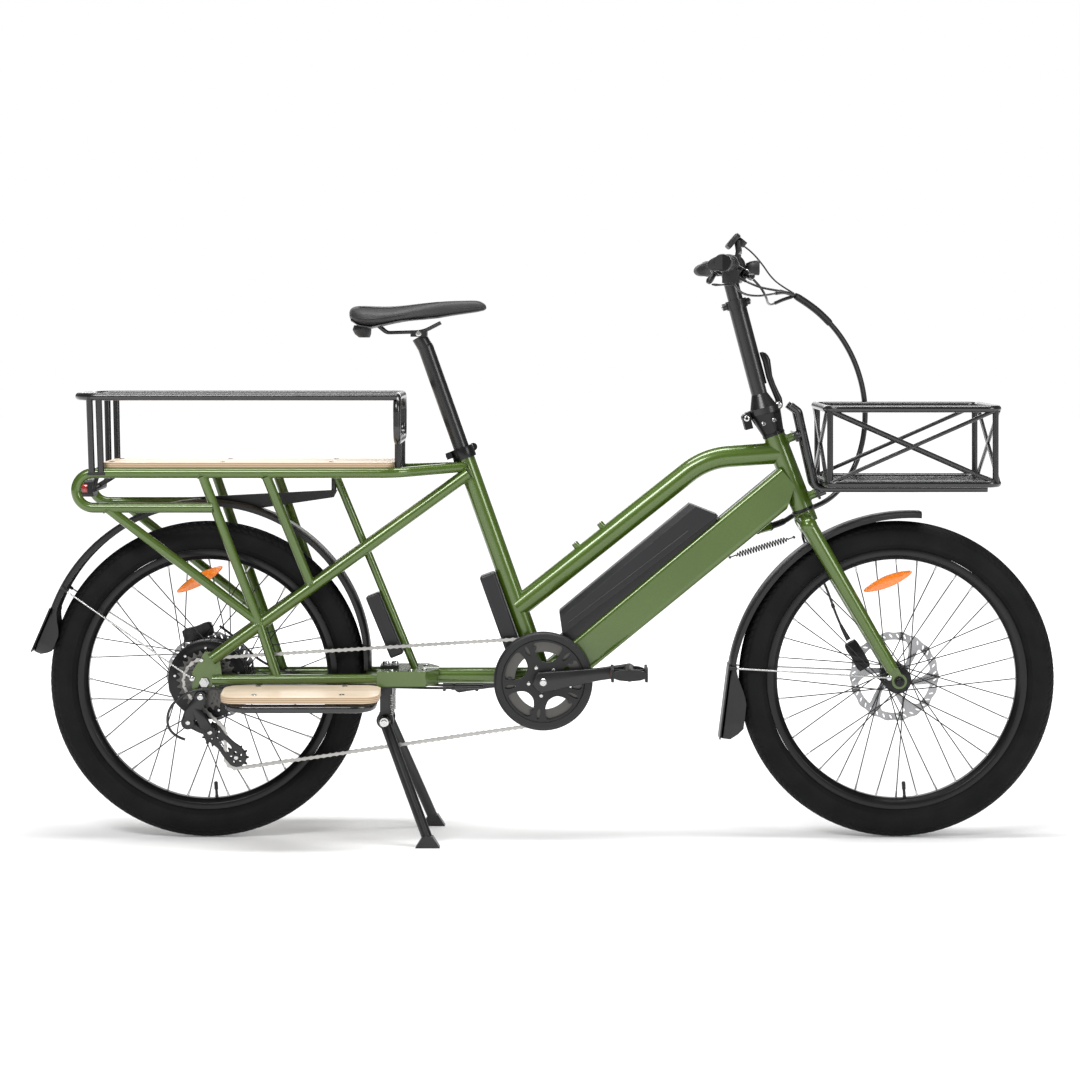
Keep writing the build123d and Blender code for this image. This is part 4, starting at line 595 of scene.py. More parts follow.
    def piece(self, name, body, material, bevel=0.0, angle=35.0, subdivide=0, stands_for=(), slot=None):
        """Finish the mesh as an object that rides on a body. bevel is in millimetres."""
        bmesh.ops.remove_doubles(self.bm, verts=self.bm.verts, dist=1e-6)
        bmesh.ops.recalc_face_normals(self.bm, faces=self.bm.faces)
        mesh = bpy.data.meshes.new(name)
        self.bm.to_mesh(mesh)
        self.bm.free()
        mesh.shade_smooth()
        if not subdivide:
            mesh.set_sharp_from_angle(angle=math.radians(angle))
        mesh.materials.append(M[material])
        obj = add_object(name, mesh)
        if bevel:
            soften_edges(obj, bevel, angle)
        if subdivide:
            smooth = obj.modifiers.new("smooth", "SUBSURF")
            smooth.levels = smooth.render_levels = subdivide
        if body:
            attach(obj, body)
        if stands_for:
            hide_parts(*stands_for)
        slot = slot or SLOTS.get(material)
        return obj


def polar(radius, degrees):
    a = math.radians(degrees)
    return vec(radius * math.cos(a), radius * math.sin(a))


def wheel_point(centre, radius, degrees, y):
    """Point on a wheel: its angle is counted from forward, up towards the sky."""
    p = polar(radius, degrees)
    return centre + vec(p.x, y, p.y)


# ----------------------------------------------------------------------------- wheels
def tyre(name, centre, body):
    """Tyre with a low blocked tread, side ribs and beads."""
    repeats, samples, across = 120, 9, 46
    around = repeats * samples
    middle = TYRE_RADIUS - TYRE_SECTION
    bead = 144.0
    shape = Shape()
    sections = []
    for i in range(around):
        a = 2 * math.pi * i / around
        section = []
        for j in range(across + 1):
            phi = -bead + 2 * bead * j / across
            side = abs(phi)
            step = (i + side * 0.28 + (4.5 if phi > 0 else 0)) % samples
            groove = 0.0
            if side < 54:
                cut = step < 2.2 or 11 < side < 15 or 33 < side < 37
                groove = 0.0014 if cut and side > 4 else 0.0
            elif side < 60:
                groove = 0.0009
            rib = 0.0006 if 88 < side < 93 or 118 < side < 124 else 0.0
            r = TYRE_SECTION - groove + rib
            p = math.radians(phi)
            radial, y = middle + r * math.cos(p), r * math.sin(p)
            section.append(centre + vec(radial * math.cos(a), y, radial * math.sin(a)))
        sections.append(section)
    shape.loft(sections, capped=False, closed=True)
    shape.piece(name, body, "tyre", angle=24, stands_for=[name.replace("_casing", "")])


def valve(name, centre, body):
    shape = Shape()
    out = wheel_point(Vector(), 1.0, -86, 0)
    foot, tip = centre + out * 0.2385, centre + out * 0.206
    profile = [(0.0034, 0), (0.0034, 0.004), (0.0028, 0.005), (0.0028, 0.016), (0.0038, 0.017)]
    profile += [(0.0038, 0.030), (0.0026, 0.0322), (0, 0.0325)]
    shape.lathe(foot, tip - foot, profile, 16)
    shape.piece(name, body, "grip_rubber")


def spokes(name, centre, body, flange, crossing):
    """Tangent spokes with elbows at the flange and nipples at the rim."""
    flange_r, outer_y, inner_y = flange
    wires, nipples = Shape(), Shape()
    for i in range(36):
        side = 1 if i % 2 else -1
        lead = crossing if (i // 2) % 2 else -crossing
        angle = 10.0 * i
        y_hub = side * (outer_y if lead > 0 else inner_y)
        hub = wheel_point(centre, flange_r, angle + lead, y_hub)
        tip = wheel_point(centre, 0.2375, angle, side * 0.005)
        along = (tip - hub).normalized()
        wires.tube([hub, hub.lerp(tip, 0.5), tip], 0.00115, 8)
        nipples.rod(tip - along * 0.012, tip + along * 0.0004, 0.0017, 0.0021, 10)
        if flange_r < 0.05:
            over = (outer_y + inner_y) / 2 * side
            head = vec(hub.x, over, hub.z)
            wires.tube([hub, head], 0.0011, 8)
    wires.piece(name, body, "spoke_black", stands_for=[name])
    nipples.piece(name + "_nipples", body, "screw")


def reflector(name, centre, body, degrees, distance, tilt):
    """Lens-shaped amber reflector clipped to the spokes."""
    middle = wheel_point(centre, distance, degrees, -0.0185)
    place = Matrix.Translation(middle) @ Matrix.Rotation(-math.radians(tilt), 4, "Y") @ SIDE_VIEW
    long, high = 0.052, 0.0108
    half = [vec(-long, -0.003), vec(-long * 0.5, -high * 0.92), vec(0, -high * 1.16)]
    half += [vec(long * 0.5, -high * 0.92), vec(long, -0.003)]
    outline = rounded(half + [vec(p.x, -p.y) for p in reversed(half)], 2)
    levels = ((0.97, 0.0), (1.0, 0.0012), (1.0, 0.0036), (0.93, 0.0052), (0.5, 0.0062))
    Shape().stack(outline, place, levels).piece(name, body, "amber", bevel=0.3)
    clip = Shape()
    for x in (-0.022, 0.022):
        clip.block(place @ Matrix.Translation((x, 0, -0.002)), (0.007, 0.016, 0.0045))
    clip.piece(name + "_clips", body, "black_plastic", bevel=0.3)


def rotor(name, centre, body, y):
    """Brake disc with a waved edge, slanted slots, six curved arms and six bolts."""
    outline = [vec(c, s) * (0.0888 + 0.0012 * math.cos(18 * 2 * math.pi * k / 240))
               for k, (c, s) in enumerate(turns(240))]
    holes = [circle(0.0155, 36)]
    for k in range(36):
        degrees = 10 * k + 5
        holes.append(circle(0.0046, 10, polar(0.0815, degrees), 0.32, math.radians(degrees + 38)))
    bolts, bolt_spots = Shape(), [polar(0.022, 60 * k + 20) for k in range(6)]
    for k in range(6):
        window = []
        for radius, angles in ((0.0735, (9, 17, 25, 33, 41, 49)), (0.0560, (42,)), (0.0295, (26, 12, -2, -16)),
                               (0.0560, (-2,))):
            window += [polar(radius, 60 * k + angle) for angle in angles]
        holes.append(rounded(window, 2))
    for p in bolt_spots:
        holes.append(circle(0.0026, 12, p))
        bolts.bolt(centre + vec(p.x, y + 0.0009, p.y), ACROSS, 0.0042, 0.0024, 18)
    disc = Shape().sheet(outline, holes, side_plane(centre + vec(0, y, 0)), -0.0009, 0.0009)
    disc.piece(name, body, "disc_steel", stands_for=[name])
    bolts.piece(name + "_bolts", body, "screw")


def wheels():
    """Both wheels, one kind of piece after another."""
    for make, kind, front, rear in (
        (tyre, "tyre_casing", (), ()),
        (valve, "valve", (), ()),
        (spokes, "spokes", ((0.024, 0.0351, 0.0284), 62), ((0.0788, 0.0232, 0.0208), 26)),
        (reflector, "reflector", (95.4, 0.196, 22), (94.4, 0.1995, 29)),
        (rotor, "disc", (0.038,), (0.046,)),
    ):
        make("front_" + kind, FRONT_AXLE, "front_wheel", *front)
        make("rear_" + kind, REAR_AXLE, "rear_wheel", *rear)


# ------------------------------------------------------------------------- drivetrain
def pitch_radius(teeth):
    return teeth * PITCH / (2 * math.pi)


def tooth_outline(teeth, tall=0.0034):
    """Sprocket outline: rounded valleys about the rollers and short blunt teeth."""
    outline, radius = [], pitch_radius(teeth)
    step = 360 / teeth
    profile = [(-0.50, -0.0037), (-0.36, -0.0033), (-0.22, -0.0010), (-0.10, 0.0026), (-0.04, 1), (0.04, 1)]
    profile += [(0.10, 0.0026), (0.22, -0.0010), (0.36, -0.0033)]
    for k in range(teeth):
        for part, height in profile:
            outline.append(polar(radius + (tall if height == 1 else height), (k + part) * step))
    return outline


def tangent(c0, r0, turn0, c1, r1, turn1):
    """Tangent points of a straight chain run from one circle to the next."""
    dx, dz = c1[0] - c0[0], c1[1] - c0[1]
    offset = math.asin((turn0 * r0 - turn1 * r1) / math.hypot(dx, dz))
    normal = math.atan2(dz, dx) + math.pi / 2 - offset
    n = vec(math.cos(normal), math.sin(normal))
    return Vector(c0) + n * turn0 * r0, Vector(c1) + n * turn1 * r1


def chain_path():
    """Closed row of points a few millimetres apart along the middle of the chain."""
    stops = [
        ((REAR_AXLE.x, REAR_AXLE.z), pitch_radius(DRIVE_TEETH), 1),
        ((BOTTOM_BRACKET.x, BOTTOM_BRACKET.z), pitch_radius(42), 1),
        (JOCKEYS["jockey_lower"], pitch_radius(11), 1),
        (JOCKEYS["jockey_upper"], pitch_radius(11), -1),
    ]
    runs = [tangent(*stop, *stops[(i + 1) % 4]) for i, stop in enumerate(stops)]
    points = []
    for i, (centre, radius, turn) in enumerate(stops):
        arrive, leave = runs[i - 1][1] - Vector(centre), runs[i][0] - Vector(centre)
        first, last = math.atan2(arrive.y, arrive.x), math.atan2(leave.y, leave.x)
        sweep = ((first - last) * turn) % (2 * math.pi)
        count = max(4, int(sweep * radius / 0.001))
        for k in range(count):
            a = first - turn * sweep * k / count
            points.append(Vector(centre) + vec(math.cos(a), math.sin(a)) * radius)
        a, b = runs[i]
        count = int((b - a).length / 0.001)
        points += [a.lerp(b, k / count) for k in range(count)]
    return points


def even_points(points, pitch):
    """Points on a closed path, evenly spaced at nearly the given pitch."""
    steps = [(b - a).length for a, b in zip(points, points[1:] + points[:1])]
    total = sum(steps)
    count = 2 * round(total / pitch / 2)
    spacing, even, travelled = total / count, [], 0.0
    for a, b, step in zip(points, points[1:] + points[:1], steps):
        while len(even) < count and len(even) * spacing <= travelled + step:
            even.append(a.lerp(b, (len(even) * spacing - travelled) / step))
        travelled += step
    return even


def chain():
    """Roller chain: inner and outer links in turn, with their rollers and rivets."""
    joints = even_points(chain_path(), PITCH)
    plates, rollers = Shape(), Shape()
    for k, a in enumerate(joints):
        b = joints[(k + 1) % len(joints)]
        mid, along = (a + b) / 2, (b - a).normalized()
        outer = k % 2
        half, r = (b - a).length / 2, 0.0040
        outline = []
        for sign in (1, -1):
            for t in (-75, -45, 0, 45, 75):
                p = polar(r, t + (0 if sign > 0 else 180))
                outline.append(vec(p.x + sign * half, p.y))
            outline.append(vec(0, r * 0.58 * sign))
        place = Matrix.Translation((mid.x, CHAIN_Y, mid.y)) @ Matrix.Rotation(
            -math.atan2(along.y, along.x), 4, "Y") @ SIDE_VIEW
        inner_y, outer_y = (0.0030, 0.0040) if outer else (0.0019, 0.0029)
        plates.prism(outline, place, inner_y, outer_y)
        plates.prism(outline, place, -outer_y, -inner_y)
        p = vec(a.x, CHAIN_Y, a.y)
        rollers.rod(p - vec(0, 0.0019, 0), p + vec(0, 0.0019, 0), 0.0037, segments=12)
        rollers.rod(p - vec(0, 0.0044, 0), p + vec(0, 0.0044, 0), 0.0018, segments=8)
    plates.piece("chain_links", "frame", "chain_steel", stands_for=["chain"])
    rollers.piece("chain_rollers", "frame", "chain_steel")


def chainring():
    """Toothed ring between an outer guard with oval windows and a plain inner guard."""
    centre, outward = BOTTOM_BRACKET, (0, -1, 0)
    ring, guard, inner, studs, bolts = Shape(), Shape(), Shape(), Shape(), Shape()
    ring.sheet(tooth_outline(42), [circle(0.057, 64)], side_plane(centre), -CHAIN_Y - 0.0011, -CHAIN_Y + 0.0011)
    ring.piece("chainring_teeth", "crank", "cog_steel")
    holes = [circle(0.0195, 48)]
    for k in range(5):
        turn = 72 * k + 82
        window = [polar(radius, turn + t) for radius, t in (
            (0.0775, -24), (0.0775, -12), (0.0775, 0), (0.0775, 12), (0.0775, 24), (0.058, 25), (0.041, 17),
            (0.037, 0), (0.041, -17), (0.058, -25))]
        holes.append(rounded(window, 3))
        holes.append(circle(0.0105, 24, polar(0.0665, turn + 36), 0.36, math.radians(turn + 36)))
        p = polar(0.0665, turn + 24)
        studs.rod(centre + vec(p.x, -0.0395, p.y), centre + vec(p.x, -0.0530, p.y), 0.0045)
        p = polar(0.0292, turn - 36)
        bolts.bolt(centre + vec(p.x, -0.0558, p.y), outward, 0.004, 0.002, 18)
    guard.sheet(circle(0.098, 128), holes, side_plane(centre), 0.0522, 0.0560)
    guard.lathe(centre, outward, [(0.0800, 0.0555), (0.0830, 0.0585), (0.0930, 0.0585), (0.0975, 0.0550),
                                  (0.0975, 0.0525), (0.0800, 0.0525)], 128, closed=True)
    guard.piece("chain_guard", "crank", "black_plastic", bevel=0.7, stands_for=["chainring"])
    inner.lathe(centre - ACROSS * 0.0380, outward, ring_profile(0.062, 0.094, 0.0020), 96, closed=True)
    inner.piece("inner_guard", "crank", "black_plastic", bevel=0.4)
    studs.piece("chainring_studs", "crank", "satin_black", slot="black_metal")
    bolts.piece("chain_guard_bolts", "crank", "screw")


def crank_end(side, y):
    """Pedal end of a crank: side -1 is the right crank, 1 the left."""
    a = math.radians(8)
    reach = -side * CRANK
    return vec(reach * math.cos(a), y, BOTTOM_BRACKET.z + reach * math.sin(a))


def crank_arms():
    """Tapered arms with a crowned outer face, on the spindle."""
    arms, caps = Shape(), Shape()
    neck = [vec(0.045, 0.0165), vec(0.110, 0.0125), vec(0.157, 0.0125)]
    outline = [polar(0.0205, t) for t in range(100, 261, 16)] + [vec(p.x, -p.y) for p in neck]
    outline += [polar(0.0135, t) + vec(CRANK, 0) for t in range(-75, 76, 15)] + neck[::-1]
    for side in (-1, 1):
        end = crank_end(side, 0)
        along = (end - BOTTOM_BRACKET).normalized()
        place = axes(BOTTOM_BRACKET, along, vec(0, -side, 0).cross(along) * -side, vec(0, side, 0))
        sections = []
        for scale, level in ((0.90, 0.0660), (0.985, 0.0668), (1.0, 0.0690), (1.0, 0.0760), (0.95, 0.0790),
                             (0.80, 0.0800)):
            section = []
            for p in outline:
                spine = vec(min(max(p.x, 0.0), CRANK), 0)
                away = p - spine
                p = spine + away * max(0.0, 1 - (1 - scale) * 0.0135 / max(away.length, 1e-6) * 1.6)
                section.append(place @ vec(p.x, p.y, level))
            sections.append(section)
        arms.loft(sections)
        arms.rod(end + vec(0, side * 0.073, 0), end + vec(0, side * 0.118, 0), 0.005)
        caps.bolt(BOTTOM_BRACKET + vec(0, side * 0.0795, 0), (0, side, 0), 0.0075, 0.0035)
    for start, stop, radius in ((-0.070, 0.082, 0.0085), (-0.066, -0.0555, 0.019)):
        arms.rod(BOTTOM_BRACKET + vec(0, start, 0), BOTTOM_BRACKET + vec(0, stop, 0), radius)
    arms.piece("crank_arms", "crank", "satin_black", bevel=0.5, stands_for=["crankset"])
    caps.piece("crank_bolts", "crank", "screw")


def pedal(word, side):
    """Platform pedal: barrel, two toothed cage plates, end plates and reflectors."""
    name = "pedal_" + word
    centre = crank_end(side, 0)
    near = side * 0.092
    shape, glow = Shape(), Shape()
    profile = [(0.0052, 0), (0.0110, 0), (0.0130, 0.003), (0.0115, 0.022), (0.0105, 0.05), (0.0120, 0.080)]
    profile += [(0.0120, 0.0855), (0.0052, 0.0858)]
    shape.lathe(centre + vec(0, near, 0), (0, side, 0), profile, 28)
    teeth = [vec(0.004 + k * 0.0089 + along, up) for k in range(9)
             for along, up in ((0, 0.0110), (0.0022, 0.0138), (0.0056, 0.0138), (0.0078, 0.0110))]
    plate = teeth + [vec(p.x, -p.y) for p in reversed(teeth)]
    for sign in (-1, 1):
        x = centre.x + sign * 0.0330
        place = Matrix(((0, 0, 1, x), (side, 0, 0, near), (0, 1, 0, centre.z), (0, 0, 0, 1)))
        shape.prism(plate, place, -0.0028, 0.0028)
        spot = vec(centre.x + sign * 0.0352, near + side * 0.042, centre.z)
        glow.block(frame_at(spot, (sign, 0, 0), (0, 0, 1)), (0.046, 0.012, 0.0016))
    for y, outline, half in ((0.004, rounded(rectangle(0.033, 0.011), 2), 0.0035),
                             (0.082, rounded(rectangle(0.033, 0.011), 2), 0.0035),
                             (0.026, rectangle(0.032, 0.006), 0.0025), (0.058, rectangle(0.032, 0.006), 0.0025)):
        shape.prism(outline, side_plane(centre + vec(0, near + side * y, 0)), -half, half)
    shape.piece(name + "_body", name, "black_plastic", bevel=0.6, stands_for=[name])
    glow.piece(name + "_reflectors", name, "amber", bevel=0.3)


def jockey(name):
    """Pulley with eleven teeth, five lightening holes and a steel bush."""
    x, z = JOCKEYS[name]
    centre = vec(x, CHAIN_Y, z)
    holes = [circle(0.0042, 20)] + [circle(0.0034, 14, polar(0.0118, 72 * k + 18)) for k in range(5)]
    wheel = Shape().sheet(tooth_outline(11, 0.0030), holes, side_plane(centre), -0.0011, 0.0011)
    wheel.piece(name + "_wheel", name, "black_plastic", bevel=0.2, stands_for=[name])
    bush = [(0.0041, -0.0035), (0.0062, -0.0035), (0.0062, 0.0035), (0.0041, 0.0035)]
    Shape().lathe(centre, ACROSS, bush, 24, closed=True).piece(name + "_bush", name, "screw")


def sprockets():
    """Seven cogs with cut-outs on the freewheel body."""
    cogs = Shape()
    for i, teeth in enumerate((28, 24, 22, 20, 18, 16, 14)):
        y = 0.036 + 0.0046 * i
        turn = 0 if teeth == DRIVE_TEETH else math.radians(7 * i)
        place = Matrix.Translation(REAR_AXLE) @ Matrix.Rotation(turn, 4, "Y") @ SIDE_VIEW
        radius = pitch_radius(teeth)
        holes = [circle(0.0172, 40)]
        if radius > 0.036:
            size = (radius - 0.006 - 0.0195) / 2 - 0.001
            for k in range(9):
                spot = polar((radius - 0.006 + 0.019) / 2, 40 * k)
                holes.append(circle(size, 14, spot, 0.62, math.radians(40 * k)))
        cogs.sheet(tooth_outline(teeth), holes, place, y - 0.0009, y + 0.0009)
    cogs.piece("cogs", "freewheel", "cog_steel", stands_for=["freewheel_sprockets"])
    profile = [(0.0085, 0.0344), (0.0170, 0.0344), (0.0170, 0.0646), (0.0150, 0.0660), (0.0150, 0.0672)]
    profile += [(0.0085, 0.0672)]
    Shape().lathe(REAR_AXLE, (0, -1, 0), profile, 40, closed=True).piece(
        "freewheel_body", "freewheel", "satin_black", bevel=0.3)


# ------------------------------------------------------------------------------ cords
LOOP_ROUTE = [
    (0.511, 0.118, 1.0793), (0.538, 0.136, 1.064), (0.574, 0.157, 1.036), (0.612, 0.18, 0.994),
    (0.642, 0.194, 0.94),
    (0.66, 0.201, 0.876), (0.662, 0.202, 0.812), (0.65, 0.199, 0.752), (0.624, 0.187, 0.7), (0.586, 0.156, 0.664),
    (0.546, 0.116, 0.648), (0.508, 0.078, 0.638), (0.48, 0.046, 0.622), (0.452, 0.022, 0.616),
]
RIGHT_HOSE_ROUTE = [
    (0.4125, -0.118, 1.1077), (0.427, -0.107, 1.094), (0.44, -0.074, 1.074), (0.446, -0.026, 1.062),
    (0.456, 0.024, 1.06), (0.472, 0.07, 1.066), (0.49, 0.1, 1.073), (0.508, 0.116, 1.0778),
]
LEFT_HOSE_ROUTE = [
    (0.4125, 0.118, 1.1077), (0.434, 0.103, 1.097), (0.458, 0.1, 1.092), (0.484, 0.107, 1.088),
    (0.506, 0.119, 1.081),
]
SHIFT_ROUTE = [
    (0.368, -0.175, 1.106), (0.373, -0.163, 1.096), (0.39, -0.124, 1.08), (0.42, -0.074, 1.076),
    (0.45, -0.016, 1.08), (0.47, 0.04, 1.084), (0.49, 0.082, 1.086), (0.51, 0.113, 1.081),
]
DISPLAY_ROUTE = [
    (0.392, 0.03, 1.184), (0.412, 0.033, 1.172), (0.438, 0.042, 1.144), (0.458, 0.062, 1.116), (0.48, 0.09, 1.099),
    (0.508, 0.116, 1.0842),
]
REAR_SHIFT_ROUTE = [
    (-0.12, -0.012, 0.298), (-0.2, -0.02, 0.296), (-0.28, -0.048, 0.302), (-0.34, -0.058, 0.303),
    (-0.56, -0.058, 0.308), (-0.6, -0.073, 0.303), (-0.642, -0.086, 0.304), (-0.7, -0.092, 0.3),
    (-0.742, -0.084, 0.262), (-0.738, -0.08, 0.212), (-0.706, -0.076, 0.202),
]
REAR_HOSE_ROUTE = [
    (-0.12, 0.014, 0.298), (-0.22, 0.03, 0.296), (-0.33, 0.058, 0.304), (-0.44, 0.06, 0.304), (-0.56, 0.058, 0.33),
    (-0.62, 0.056, 0.392), (-0.652, 0.054, 0.414),
]
FRONT_HOSE_ROUTE = [
    (0.613, 0.044, 0.387), (0.6, 0.048, 0.41), (0.586, 0.056, 0.444), (0.568, 0.057, 0.496), (0.541, 0.057, 0.545),
    (0.524, 0.054, 0.584), (0.519, 0.044, 0.6), (0.522, 0.03, 0.612),
]


def smooth_line(route):
    """Points along the NURBS spline whose control points are the route's, in metres."""
    data = bpy.data.curves.new("route", "CURVE")
    data.dimensions, data.resolution_u = "3D", 14
    spline = data.splines.new("NURBS")
    spline.points.add(len(route) - 1)
    for point, place in zip(spline.points, route):
        point.co = (*place, 1)
    spline.order_u = 3
    spline.use_endpoint_u = True
    holder = add_object("route", data)
    bpy.context.view_layer.update()
    mesh = bpy.data.meshes.new_from_object(holder.evaluated_get(bpy.context.evaluated_depsgraph_get()))
    points = [v.co.copy() for v in mesh.vertices]
    bpy.data.objects.remove(holder)
    bpy.data.curves.remove(data)
    bpy.data.meshes.remove(mesh)
    return points


def run_length(points):
    return sum((b - a).length for a, b in zip(points, points[1:]))


def cable(name, route, radius, body, stands_for=(), bend=None):
    """Round cable along its route; when bend is given, the cable rides on no body and its transform is baked in;
    the bodies and points in bend are not used.
    """
    line = smooth_line(route)
    obj = Shape().tube(line, radius, 16).piece(name, None if bend else body, "cable_black", angle=60,
                                               stands_for=stands_for)
    if bend:
        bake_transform(obj)
    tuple(line[0])
    run_length(line)


def along_line(line, start, end):
    """The stretch of a line between two distances from its beginning."""
    kept, travelled = [], 0.0
    for a, b in zip(line, line[1:]):
        step = (b - a).length
        for wanted in (start, end):
            if travelled <= wanted < travelled + step:
                kept.append(a.lerp(b, (wanted - travelled) / step))
        travelled += step
        if start < travelled < end:
            kept.append(b)
    return kept


def sleeve(name, line, start, end, radius):
    """Shrink sleeve with tapered ends round a stretch of cable."""
    part = along_line(line, start, end)
    last = len(part) - 1
    sizes = [radius * {0: 0.82, 1: 0.95}.get(min(k, last - k), 1.0) for k in range(last + 1)]
    obj = Shape().tube(part, sizes, 16).piece(name, None, "black_plastic", slot="rubber", angle=60)
    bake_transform(obj)
    return obj


def cords():
    """Bundle past the basket, the hoses and wires at the handlebar, and the runs along the frame."""
    turning = ("frame", "fork", at(652, 200, 880), at(508, 116, 1081))
    loop = smooth_line(LOOP_ROUTE)
    whole = run_length(loop)
    sleeves = [
        sleeve("loop_upper_sleeve", loop, 0.0, 0.105, 0.0074),
        sleeve("loop_lower_sleeve", loop, whole - 0.045, whole - 0.002, 0.0068),
    ]
    cable("cable_loop_bundle", LOOP_ROUTE, 0.0056, "frame", ["cable_loop"], turning)
    for name, route, radius in (
        ("right_brake_hose", RIGHT_HOSE_ROUTE, 0.0024), ("left_brake_hose", LEFT_HOSE_ROUTE, 0.0024),
        ("shift_housing", SHIFT_ROUTE, 0.0023), ("display_wire", DISPLAY_ROUTE, 0.0017),
    ):
        line = smooth_line(route)
        length = run_length(line)
        folding = ("fork", "handlepost", line[-1], line[0])
        cover = []
        if name != "display_wire":
            cover = [sleeve(name + "_sleeve", line, length * 0.70, length * 0.985, 0.0036)]
        cable(name, route, radius, "handlepost", ["control_cables"], folding)
    cable("rear_shift_housing", REAR_SHIFT_ROUTE, 0.0026, "frame", ["frame_cables"])
    cable("rear_brake_hose", REAR_HOSE_ROUTE, 0.0026, "frame", ["frame_cables"])
    hose = smooth_line(FRONT_HOSE_ROUTE)
    part = along_line(hose, 0.0, 0.034)
    last = len(part) - 1
    boot = Shape().tube(part, [0.0052 - 0.0022 * k / last for k in range(last + 1)], 16)
    boot_piece = boot.piece("front_hose_boot", "fork", "grip_rubber", angle=60)
    cable("front_brake_hose", FRONT_HOSE_ROUTE, 0.0025, "fork", (), None)
    clips = Shape()
    for distance in (0.075, 0.135, 0.19):
        spot = along_line(hose, distance - 0.004, distance + 0.004)
        clips.tube([spot[0], spot[-1]], 0.0036, 16)
    clips.piece("front_hose_clips", "fork", "black_plastic")
    ties = Shape()
    for route in (REAR_SHIFT_ROUTE, REAR_HOSE_ROUTE):
        line = smooth_line(route)
        for distance in (0.06, 0.20, 0.32, 0.42):
            spot = along_line(line, distance - 0.003, distance + 0.003)
            ties.tube([spot[0], spot[-1]], 0.0040, 16)
    ties.piece("cable_ties", "frame", "black_plastic")


# --------------------------------------------------------------------------- handlebar
def bar_point(y):
    over = max(0.0, abs(y) - 40.0)
    return vec(BAR_CENTRE.x - (BAR_CENTRE.x - BAR_END_X) * over / 282.0, y / 1000, BAR_CENTRE.z)


def grips():
    """Ribbed grips with end clamps and the wings that carry the palms."""
    rubber, rings = Shape(), Shape()
    steps, wing_up = 110, math.radians(192)
    for side in (-1, 1):
        start, end = bar_point(side * 200), bar_point(side * 322)
        along = (end - start).normalized()
        sections = []
        for k in range(steps + 1):
            t = k / steps
            body = 0.0148 + 0.0016 * t - max(0.0, t - 0.97) * 0.06
            if 0.06 < t < 0.62 and k % 6 < 3:
                body += 0.0007
            reach = 0.0145 * smooth_rise((t - 0.42) / 0.26) * smooth_fall((t - 0.90) / 0.10)
            section = []
            for c, s in turns(40):
                wing = max(0.0, c * math.cos(wing_up) + s * math.sin(wing_up)) ** 5
                section.append(start.lerp(end, t) + vec(c, 0, s) * (body + reach * wing))
            sections.append(section)
        rubber.loft(sections)
        rings.rod(start - along * 0.0006, start + along * 0.0085, 0.0163, segments=40, soft=0.001)
        rings.rod(end - along * 0.007, end, 0.0166, segments=40, soft=0.0012)
        rings.bolt(start + along * 0.004 + vec(0, 0, -0.0158), (0, 0, -1), 0.0026, 0.0018)
    rubber.piece("grip_rubbers", "bar_assembly", "grip_rubber", angle=28, stands_for=["grips"])
    rings.piece("grip_rings", "bar_assembly", "anodised")


def smooth_rise(t):
    t = min(1.0, max(0.0, t))
    return t * t * (3 - 2 * t)


def smooth_fall(t):
    return 1.0 - smooth_rise(t)


def lever_pivot(side):
    return bar_point(side * 158) + LEVER_OUT * 0.034


def brake_lever(word, side):
    """Curved blade: flat at the pivot, hooked at its ball end. A knot is (outwards, forwards, half thickness)."""
    pivot = lever_pivot(side)
    knots = [(0, 0, 7.5), (10, 6, 7.2), (24, 12.5, 6.2), (40, 14.5, 5.8), (60, 13.2, 5.6), (80, 11.2, 5.6),
             (98, 10.2, 5.8), (110, 10.4, 6.4), (116, 10.8, 6.0), (118.5, 11.0, 3.5)]
    line = [pivot + vec(0, side * out / 1000, 0) + LEVER_OUT * (forward / 1000) for out, forward, _ in knots]
    sections = []
    for i, (point, knot) in enumerate(zip(line, knots)):
        ahead = (line[min(i + 1, len(line) - 1)] - line[max(i - 1, 0)]).normalized()
        other = LEVER_UP.cross(ahead).normalized()
        tall, half = (0.62 if i < 2 else 0.82), knot[2] / 1000
        sections.append([point + LEVER_UP * (half * tall * s) + other * (half * 0.78 * c) for c, s in turns(20)])
    shape = Shape().loft(sections)
    shape.lathe(pivot - LEVER_UP * 0.005, LEVER_UP, ring_profile(0.0026, 0.008, 0.010), 32, closed=True)
    name = "brake_lever_" + word
    shape.piece(name + "_blade", name, "anodised", bevel=0.4, stands_for=[name])


